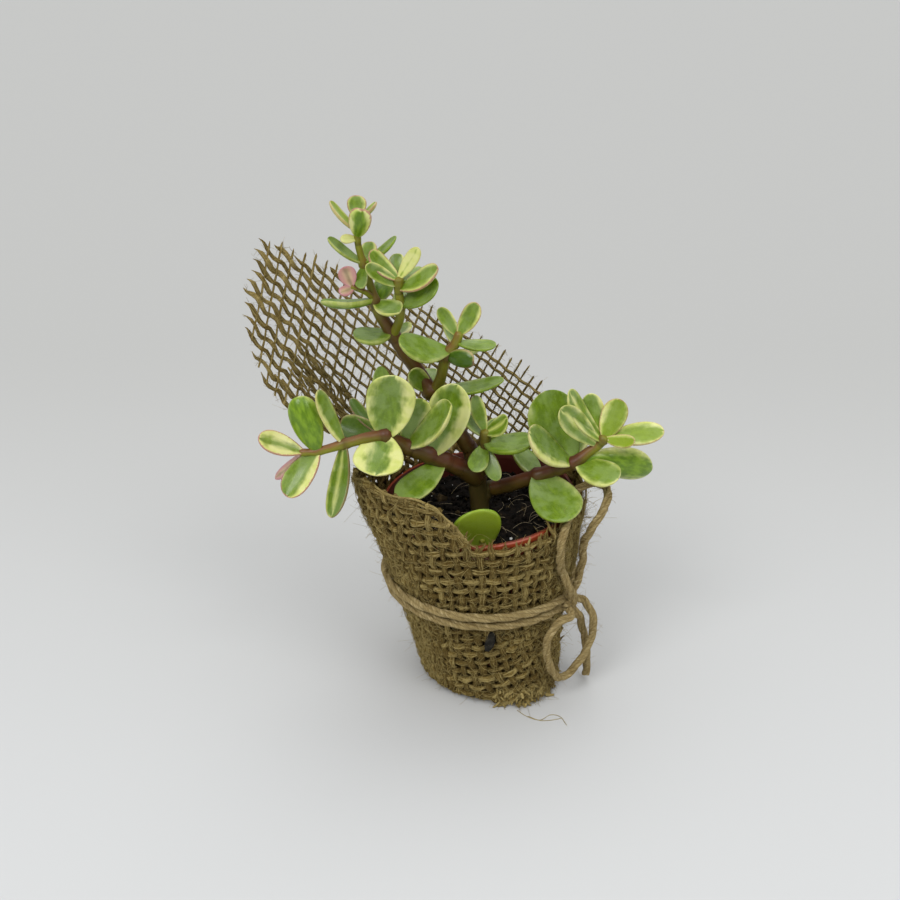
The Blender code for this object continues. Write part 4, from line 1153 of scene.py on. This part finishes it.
    def gathered(self):
        """Loose upright strands on the right, drawn together towards the knot."""
        draw = self.draw
        for _ in range(LOOSE_STRANDS):
            start = draw.uniform(*LOOSE_FROM)
            top = wrap_edge((start + 90) / 180 * math.pi * ROUND) + draw.uniform(-6.0, 4.0)
            t = np.linspace(0.0, 1.0, 26)
            z = top + (LOOSE_FOOT - top) * t
            angle = start + (KNOT_ANGLE + 3 - start) * draw.uniform(0.3, 0.9) * t ** 1.6
            angle = angle + wander(draw, 1.0, ((0.25, 1.0), (0.1, 0.5)))(t)
            points = wrap_point(angle, z, -draw.uniform(0.1, 0.9) - 0.3 * np.sin(t * 9))
            thin = draw.uniform(0.25, 0.6) * (1 - 0.6 * (1 - t) ** 3)
            outward = away_from_axis(angle)
            tube(self.pile, points, thin, 5, outward, lay=4.0, flat=0.6, shade=draw.uniform(0.0, 1.0))
            self.sources.append((points, outward, 0.4))

    def lining(self):
        """The inner layer of the doubled cloth, its yarns painted dark: painted shade in the gaps of the
        outer one.
        """
        pile, draw = Pile(), self.draw
        depth = LINING_DEPTH - cloth_depth(0.0)
        heights = np.arange(*LINING_HEIGHTS, LINING_STEP)
        places = np.arange(FIRST_EDGE + 12, LAST_EDGE - 4, LINING_STEP)
        for t, first, last, slope, sign in ((heights, -46, 12, -0.3, -1), (places, -14, 24, -0.28, 1)):
            for k in range(first, last):
                place = k * PITCH + slope * t + wander(draw, 0.5)(t)
                s, h = (t, place) if sign > 0 else (place, t)
                keep = (h < wrap_edge(s) - 4) & (h >= heights[0]) & (s >= places[0]) & (s < LAST_EDGE - 4)
                out = sign * 0.25 * weaving(t, k) - depth
                for part in runs(keep, 4):
                    points, outward = laid(cloth_point, s[part], h[part], out[part])
                    # Painted shade: the lining's yarns are given the darkest shades
                    tube(pile, points, YARN * 0.95, 4, outward, lay=6.0, flat=0.3,
                         shade=draw.uniform(-1.6, -0.9))
        return pile

    def tuft(self):
        """Frayed ends that come out from under the cloth at the front and lie on the ground."""
        draw = self.draw
        t = np.linspace(0, 1, 9)[:, None]
        for _ in range(TUFT_ENDS):
            angle = draw.uniform(*TUFT_ANGLES)
            foot = wrap_point(angle, draw.uniform(0.8, 7.0), draw.uniform(0.0, 1.5))
            outward = away_from_axis(angle)
            side = np.array([-outward[1], outward[0], 0.0])
            length = draw.uniform(1.2, 4.0)
            rows = foot + (outward * draw.uniform(0.15, 0.55) + side * draw.uniform(-0.8, 0.8)) * t * length
            rows = rows - np.array([0, 0, 1.0]) * draw.uniform(0.2, 0.9) * t ** 1.4 * length
            rows[:, 2] = np.maximum(rows[:, 2], 0.5 + 0.2 * draw.random())
            shade = draw.uniform(0.0, 1.2)
            thin = YARN * draw.uniform(0.3, 0.75) * (1 - 0.5 * t[:, 0])
            self.loose_end(rows, outward, thin, 4.0, shade)


def add_scrap(finish):
    """A dark scrap of dry leaf that is caught in the weave below the twine."""
    t = np.linspace(0.0, 1.0, 9)
    angle = SCRAP_ANGLE[0] + (SCRAP_ANGLE[1] - SCRAP_ANGLE[0]) * t
    height = SCRAP_HEIGHT[0] + (SCRAP_HEIGHT[1] - SCRAP_HEIGHT[0]) * t
    rows = wrap_point(angle, height, -0.9 - 0.8 * np.sin(t * math.pi))
    outward = unit(rows - wrap_point(angle, height, 2.0))
    pile = Pile()
    tube(pile, rows, 0.5 + 1.2 * np.sin(math.pi * (0.1 + 0.85 * t)), 10, outward, lay=5.0, flat=0.3)
    pile.piece("dry_scrap", finish, "soil")


def lying_fibres(pile, count, longest):
    """Fine pale fibres that cross the wrap's face in all directions and arch a little away from it."""
    draw = random.Random(17)
    t = np.linspace(-0.5, 0.5, 6)
    for _ in range(count):
        s = draw.uniform(FIRST_EDGE + 20, LAST_EDGE - 1)
        h = draw.uniform(1.5, float(wrap_edge(s)) - 1)
        turn = draw.uniform(0, math.pi)
        length = longest * draw.uniform(0.25, 1.0)
        bow = draw.uniform(-0.3, 0.3) * length * (1 - 4 * t * t)
        out = 1.0 + draw.uniform(0.1, 0.8) * (1 - 4 * t * t)
        rows = cloth_point(s + length * t * math.cos(turn) - bow * math.sin(turn),
                           h + length * t * math.sin(turn) + bow * math.cos(turn), out)
        tube(pile, rows, draw.uniform(0.04, 0.09), 3, carried(rows), shade=draw.uniform(0.9, 1.8))


def fibres(pile, sources, count, seed, longest, thickness, points_each):
    """Fine loose fibres that stand out of yarns and bend over."""
    draw = random.Random(seed)
    weights = [len(points) for points, _, _ in sources]
    picks = draw.choices(range(len(sources)), weights, k=count)
    for pick in picks:
        points, outward, radius = sources[pick]
        i = draw.randrange(1, len(points) - 1)
        tangent = unit(points[i + 1] - points[i - 1])
        side = np.cross(tangent, outward[i])
        turn = draw.uniform(0, 2 * math.pi)
        radial = side * math.cos(turn) + outward[i] * math.sin(turn)
        heading = unit(tangent * draw.uniform(-1.2, 1.2) + radial * draw.uniform(0.3, 1.0))
        curl = unit(np.array([draw.gauss(0, 1), draw.gauss(0, 1), draw.gauss(0, 1) - 0.4]))
        length = draw.uniform(0.25, 1.0) ** 1.6 * longest
        t = np.linspace(0, 1, points_each)[:, None]
        rows = points[i] + radial * radius * 0.7 + (heading * t + curl * 0.45 * t * t) * length
        rows[:, 2] = np.maximum(rows[:, 2], 0.15)
        tube(pile, rows, thickness * (1 - 0.4 * t[:, 0]), 3, carried(rows), shade=draw.uniform(0.2, 1.4))


def add_fuzz(sources, wrapped, edge, finish):
    """Short hairs of the wrap and of the net behind, long fibres, and those that lie across the wrap."""
    fuzz, loose, lying = Pile(), Pile(), Pile()
    fibres(fuzz, sources[:wrapped], *WRAP_HAIRS)
    fibres(fuzz, sources[wrapped:], *NET_HAIRS)
    fibres(loose, sources, *LOOSE_FIBRES)
    fibres(loose, edge, *EDGE_FIBRES)
    lying_fibres(lying, *FACE_FIBRES)
    for path in FALLEN_FIBRES:
        rows, _ = lines(smooth_route([(*place, FALLEN_HEIGHT) for place in path], 1.0))
        tube(loose, rows, FALLEN_THICKNESS, 4, carried(rows), shade=1.0)
    named = (("burlap_hairs", fuzz), ("burlap_loose_fibres", loose), ("burlap_face_fibres", lying))
    return [pile.piece(name, finish, "burlap") for name, pile in named]


def add_cloth(finish):
    cloth = Cloth()
    cloth.wrap()
    cloth.hem()
    woven = len(cloth.sources)
    cloth.gathered()
    edge = cloth.sources[woven:]
    cloth.underside()
    cloth.tuft()
    burlap = cloth.pile.piece("burlap_cloth", finish, "burlap", ("burlap",))
    wrapped = len(cloth.sources)
    cloth.pile = Pile()
    cloth.flap()
    cloth.folded()
    net = cloth.pile.piece("burlap_net", finish, "burlap", ("burlap",))
    strips = cloth.strips.piece("burlap_slivers", finish, "burlap")
    lining = cloth.lining().piece("burlap_lining", finish, "burlap")
    hairs, long_hairs, face_hairs = add_fuzz(cloth.sources, wrapped, edge, finish)


# Twine

def turn_height(angle, row):
    """Height of the upper turn, row 0, and of the lower one, row 1."""
    return TURN_Z - row * TURN_STEP - swell(angle, *TURN_DROP)


def knot_frame():
    """The knot's own axes: outwards, along the turns and upwards."""
    centre = wrap_point(KNOT_ANGLE, turn_height(KNOT_ANGLE, 0.5), -KNOT_SIZE[0] - GAP)
    return Matrix.Translation(centre.tolist()) @ Matrix.Rotation(math.radians(KNOT_ANGLE), 4, "Z")


def knot_end(direction):
    """Two points of a cord that meets the knot squarely on this side of it, the nearer one first."""
    heading = Vector(direction).normalized()
    size = Vector(KNOT_SIZE)
    normal = Vector([h / s for h, s in zip(heading, size)]).normalized()
    seat = Vector([h * s for h, s in zip(heading, size)]) + normal * (GAP + 0.05)
    return [knot_frame() @ seat, knot_frame() @ (seat + normal * TWINE)]


def free_twine(name):
    """The smooth route of a loop or of the tail, in points two diameters apart."""
    points = knot_end(TWINE_STARTS[name]) + [Vector(p) for p in TWINE_ROUTES[name]]
    if name in TWINE_RETURNS:
        points += knot_end(TWINE_RETURNS[name])[::-1]
    return [p for p, _ in smooth_route(points, 2 * TWINE)]


def plied(pile, points, ups, sources, diameter=TWINE, closed=False, seed=1):
    """Three plies laid round a line, each a tube of its own."""
    draw = random.Random(seed)
    ply = diameter * PLY
    orbit = diameter * 0.5 - ply
    along = distance_along(points)
    whole = along[-1] + np.linalg.norm(points[0] - points[-1])
    lay = whole / round(whole / TWINE_LAY) if closed else TWINE_LAY
    waves = along / along[-1] * 2 * math.pi * 7 if closed else along / 4
    _, across, ups = axes(points, ups, closed)
    for k in range(3):
        turn = (2 * math.pi * (along / lay + k / 3))[:, None]
        radial = ups * np.cos(turn) + across * np.sin(turn)
        rows = points + radial * orbit
        radii = ply * (PLY_SWELL[0] + PLY_SWELL[1] * np.sin(waves + draw.uniform(0, 6)))
        tube(pile, rows, radii, 8, radial, closed=closed, lay=-7.0, shade=draw.uniform(-0.2, 0.3))
        sources.append((rows, radial, ply))


def fine_line(route):
    """Points along a route, close enough for twine."""
    return lines(smooth_route(route, TWINE_STEP))[0]


def add_cords(finish, sources):
    """The two loops of the bow and its free end."""
    for number, name in enumerate(TWINE_ROUTES):
        path = free_twine(name)
        fine = fine_line(path)
        pile = Pile()
        plied(pile, fine, carried(fine), sources, seed=number)
        cord = pile.piece(name + "_plies", finish, "twine", (name,))


def add_turns(finish, sources):
    """The two turns round the cloth, and the knot that ties them."""
    pile = Pile()
    angles = np.linspace(0.0, 360.0, TURN_POINTS, endpoint=False)
    for row in range(2):
        points = wrap_point(angles, turn_height(angles, row), -(TWINE / 2 + GAP + 0.1))
        plied(pile, points, away_from_axis(angles), sources, closed=True, seed=20 + row)
    knot = knot_frame()
    for number, path in enumerate(KNOT_STRANDS):
        route = [knot @ Vector([a * b for a, b in zip(p, KNOT_SIZE)]) for p in path]
        fine = fine_line(route)
        plied(pile, fine, carried(fine), sources, TWINE * KNOT_TWINE, seed=30 + number)
    pile.piece("twine_turns", finish, "twine", ("twine_wrap",))


# Plant

def squared(values, power):
    """Values between -1 and 1 pushed outwards, which squares a circle's corners."""
    return np.sign(values) * np.abs(values) ** power


def blade_profile(draw):
    """Places along a blade, with its half width and its depth at them as shares."""
    lower = np.linspace(0.0, 1.0, LEAF_LOWER_RINGS, endpoint=False) * LEAF_WIDEST
    upper = np.sin(np.linspace(0.0, 0.97, LEAF_RINGS - LEAF_LOWER_RINGS) * math.pi / 2)
    along = np.concatenate([lower, LEAF_WIDEST + (1 - LEAF_WIDEST) * upper])
    wedge = np.sin(math.pi / 2 * np.minimum(along / LEAF_WIDEST, 1.0) ** draw.uniform(0.72, 0.95))
    beyond = np.maximum(along - LEAF_WIDEST, 0.0) / (1 - LEAF_WIDEST)
    half = (LEAF_STALK + (1 - LEAF_STALK) * wedge) * np.sqrt(1 - beyond ** draw.uniform(2.0, 2.5))
    deep = 0.75 + 0.25 * np.sin(math.pi / 2 * np.minimum(along / LEAF_DEEPEST, 1))
    deep = deep * np.sqrt(1 - np.maximum((along - LEAF_DEEPEST) / (1 - LEAF_DEEPEST), 0.0) ** 4)
    return along, half, deep


def blade_values(along, edge, reach, across, turn, length, look, draw):
    """What the leaf's material reads: the place on the blade, and how much of each colour belongs there."""
    left, right, pink, stripe, light = LOOKS[look]
    margin = left + (right - left) * (0.5 + 0.5 * np.clip(across * 3, -1, 1))
    own = draw.uniform(0.0, 400.0)
    spot = [reach, np.broadcast_to(along[:, None] * length, reach.shape), np.full_like(reach, own)]
    spot = np.stack(spot, axis=-1)
    spot = np.concatenate([spot.reshape(-1, 3), spot[0, :1], spot[-1, :1]])
    towards_tip = np.clip((along - 0.8) / 0.2, 0, 1)[:, None] ** 2
    shown = np.maximum(np.abs(across), towards_tip * 0.97) * np.sign(across + 1e-6)

    def rows(values, first, last):
        return np.concatenate([np.broadcast_to(values, reach.shape).ravel(), [first, last]])

    return {"blade": spot, "edge": rows(edge, edge[0].min(), 0.0), "across": rows(shown, 0.0, 1.0),
            "margin": rows(margin, left, max(left, right)), "top": rows(np.sin(turn) * 0.5 + 0.5, 0.5, 0.5),
            "pink": pink * draw.uniform(0.7, 1.2), "stripe": stripe, "light": light + draw.uniform(-0.2, 0.2)}


def blade_sides(axis, facing):
    """The ways out of a blade's upper side and across it."""
    length = np.linalg.norm(axis)
    normal = np.array(FACES[facing])
    normal = unit(normal - axis * normal.dot(axis) / length ** 2)
    return normal, np.cross(axis / length, normal)


def blade(pile, base, tip, width, facing, look, draw):
    """A fleshy blade, wedge-shaped at its stalk and round at its tip, a little cupped."""
    axis = tip - base
    length = np.linalg.norm(axis)
    normal, side = blade_sides(axis, facing)
    thickness = min(max(width * LEAF_THICKNESS, LEAF_THINNEST), LEAF_THICKEST)
    along, half, deep = blade_profile(draw)
    half = half * width / 2
    turn = 2 * math.pi * np.arange(LEAF_SECTIONS) / LEAF_SECTIONS
    across = squared(np.cos(turn), LEAF_SQUARENESS[0])
    over = squared(np.sin(turn), LEAF_SQUARENESS[1]) * np.where(np.sin(turn) > 0, LEAF_UPPER, LEAF_LOWER)
    wave = 0.02 * width * np.sin(along * draw.uniform(3, 6) + draw.uniform(0, 6))
    skew = draw.uniform(-0.03, 0.03) * length
    reach = half[:, None] * across
    cup = LEAF_CUP * draw.uniform(0.4, 1.5)
    lift = over * deep[:, None] * thickness / 2 + (cup * half + wave)[:, None] * across ** 2
    bend = LEAF_BEND * length * 4 * along * (along - 1)
    middle = base + axis * along[:, None] + normal * bend[:, None]
    middle = middle + side * (skew * np.sin(math.pi * along))[:, None]
    points = middle[:, None] + side * reach[..., None] + normal * lift[..., None]
    edge = np.minimum((1 - np.abs(across)) * half[:, None], ((1 - along) * length)[:, None])
    tips = [base, tip - normal * thickness * 0.1]
    pile.add(np.concatenate([points.reshape(-1, 3), tips]), skin(len(along), LEAF_SECTIONS),
             **blade_values(along, edge, reach, across, turn, length, look, draw))


def add_plant(leaf, bark):
    draw = random.Random(3)
    for node, shoots in SHOOTS.items():
        leaves, stems = Pile(), Pile()
        for rows, blades in shoots:
            points, radii = lines(smooth_route(rows, STEM_STEP))
            along = distance_along(points)
            ring = np.zeros_like(along)
            for share, tip, width, facing, look in blades:
                place = share * along[-1]
                base = np.array([np.interp(place, along, points[:, axis]) for axis in range(3)])
                blade(leaves, base, np.array(tip, float), width, facing, look, draw)
                radii = radii * (1 + JOINT[0] * np.exp(-((along - place) / JOINT[1]) ** 2))
                ring = np.maximum(ring, np.exp(-((along - place - SCAR[0]) / SCAR[1]) ** 2))
            for place in np.arange(draw.uniform(2, 4), along[-1], draw.uniform(3.5, 5.0)):
                ring = np.maximum(ring, OLD_SCAR[0] * np.exp(-((along - place) / OLD_SCAR[1]) ** 2))
            radii = radii * (1 - SCAR_DEPTH * ring)
            age = np.clip((radii - 1.0) / 1.5, 0.0, 1.0)
            tube(stems, points, radii, STEM_SIDES, carried(points), lay=60.0, age=age, ring=ring, wood=0.0)
        leaves.piece(node + "_blades", leaf, "leaf", (node,))
        stems.piece(node + "_bark", bark, "bark", (node,))


def add_trunk(bark):
    pile = Pile()
    routes = [TRUNK_ROUTE]
    # One arm to each leafy stem
    for shoots in (TALL_STEM, LEFT_STEM, CENTRE_STEM, RIGHT_STEM):
        route = smooth_route(shoots[0][0], STEM_STEP)
        start, radius = route[0]
        direction = (route[2][0] - start).normalized()
        fork = RIGHT_FORK if shoots is RIGHT_STEM else HIGH_FORK
        ends = [(*(start + direction * way), radius) for way in ARM_ENDS]
        routes.append(((*fork, radius * ARM_SWELL), *ends))
    for number, route in enumerate(routes):
        points, radii = lines(smooth_route(route, TRUNK_STEP))
        along = distance_along(points)
        knobs = wander(random.Random(number), 0.05, ((2.5, 1.0), (1.1, 0.6)))(along)
        wood = np.clip((WOOD_TOP[0] - points[:, 2]) / WOOD_TOP[1], 0, 1)
        tube(pile, points, radii * (1 + knobs), TRUNK_SIDES, carried(points), lay=80.0, age=1.0, ring=0.0,
             wood=wood)
    pile.piece("trunk_bark", bark, "bark", ("trunk",))


# Soil

def pot_matrix():
    return Matrix.Translation(POT_FOOT) @ Matrix.Rotation(math.radians(-POT_TILT), 4, "Y")


def grain(pile, centre, size, draw):
    """A rough crumb: three rings of points and two tips, pushed in and out."""
    turn = 2 * math.pi * np.arange(GRAIN_SIDES) / GRAIN_SIDES
    rows = []
    for height, radius in GRAIN_RINGS:
        rows.append(np.stack([radius * np.cos(turn + height), radius * np.sin(turn + height),
                              np.full(GRAIN_SIDES, height)], axis=-1))
    points = np.concatenate(rows + [np.array([[0, 0, -0.9], [0, 0, 0.95]])])
    rough = np.array([draw.uniform(0.7, 1.25) for _ in points])[:, None]
    squash = np.array([draw.uniform(0.7, 1.3), draw.uniform(0.7, 1.3), draw.uniform(0.6, 1.0)])
    spin = np.array(Matrix.Rotation(draw.uniform(0, 6.3), 3, Vector((draw.random(), draw.random(), 1))))
    pile.add(centre + (points * rough * squash * size) @ spin.T, skin(len(GRAIN_RINGS), GRAIN_SIDES))


def on_soil(draw, reach):
    """A random point of the soil's surface, in the pot's own frame."""
    radius = reach * math.sqrt(draw.random())
    angle = draw.uniform(0, 2 * math.pi)
    return np.array([radius * math.cos(angle), radius * math.sin(angle), POT_HEIGHT - SOIL_DEPTH])


def soil_root(pile, draw):
    """A fine pale root that lies on the soil in a curve."""
    start = on_soil(draw, SOIL_RADIUS - 4) + (0.0, 0.0, 0.2)
    t = np.linspace(0, 1, 10)[:, None]
    heading = draw.uniform(0, 2 * math.pi)
    way = np.array([math.cos(heading), math.sin(heading), 0.0])
    curve = way * t * draw.uniform(3, 10)
    bend = np.array([-way[1], way[0], 0.0]) * np.sin(t * 4) * draw.uniform(-1.5, 1.5)
    rise = np.array([0, 0, 1.0]) * np.sin(t * math.pi) * draw.uniform(0.3, 1.6)
    rows = np.array([tuple(pot_matrix() @ Vector(p)) for p in start + curve + bend + rise])
    tube(pile, rows, 0.09 * (1 - 0.5 * t[:, 0]), 4, carried(rows), shade=0.8)


def add_soil(perlite, root):
    soil = soil_material("potting_soil", (0.004, 0.003, 0.002), (0.020, 0.013, 0.008))
    bits = soil_material("bark_chip", (0.035, 0.022, 0.008), (0.110, 0.075, 0.032))
    dress("soil", soil)
    draw = random.Random(9)
    for name, finish, (count, smallest, largest) in (("soil_crumbs", soil, CRUMBS),
                                                     ("perlite_grains", perlite, PERLITE),
                                                     ("bark_chips", bits, CHIPS)):
        pile = Pile()
        for _ in range(count):
            place = on_soil(draw, SOIL_RADIUS) + (0.0, 0.0, draw.uniform(*GRAIN_HEIGHTS))
            size = smallest + (largest - smallest) * draw.random() ** GRAIN_RARITY
            grain(pile, np.array(pot_matrix() @ Vector(place)), size, draw)
        pile.piece(name, finish, "soil")
    roots = Pile()
    for _ in range(SOIL_ROOTS):
        soil_root(roots, draw)
    roots.piece("fine_roots", root, "soil")


def main():
    jute = jute_material("jute_twine", (0.58, 0.465, 0.24), (0.40, 0.305, 0.135), (0.17, 0.115, 0.04))
    burlap = jute_material("burlap_yarn", (0.60, 0.475, 0.19), (0.31, 0.222, 0.066), (0.06, 0.035, 0.008))
    root = jute_material("root_fibre", (0.60, 0.50, 0.33), (0.42, 0.33, 0.20), (0.25, 0.18, 0.10))
    sources = []
    add_camera()
    add_cords(jute, sources)
    add_turns(jute, sources)
    fuzz = Pile()
    fibres(fuzz, sources, *TWINE_HAIRS)
    fibres(fuzz, sources, *TWINE_FIBRES)
    fuzz.piece("twine_hairs", jute, "twine")
    add_cloth(burlap)
    add_scrap(soil_material("dry_leaf", (0.012, 0.011, 0.008), (0.045, 0.040, 0.030)))
    leaf, bark = leaf_material(), bark_material()
    add_plant(leaf, bark)
    add_trunk(bark)
    dress("pot", plastic_material())
    add_soil(perlite_material(), root)
    add_floor()
    add_lights()


main()
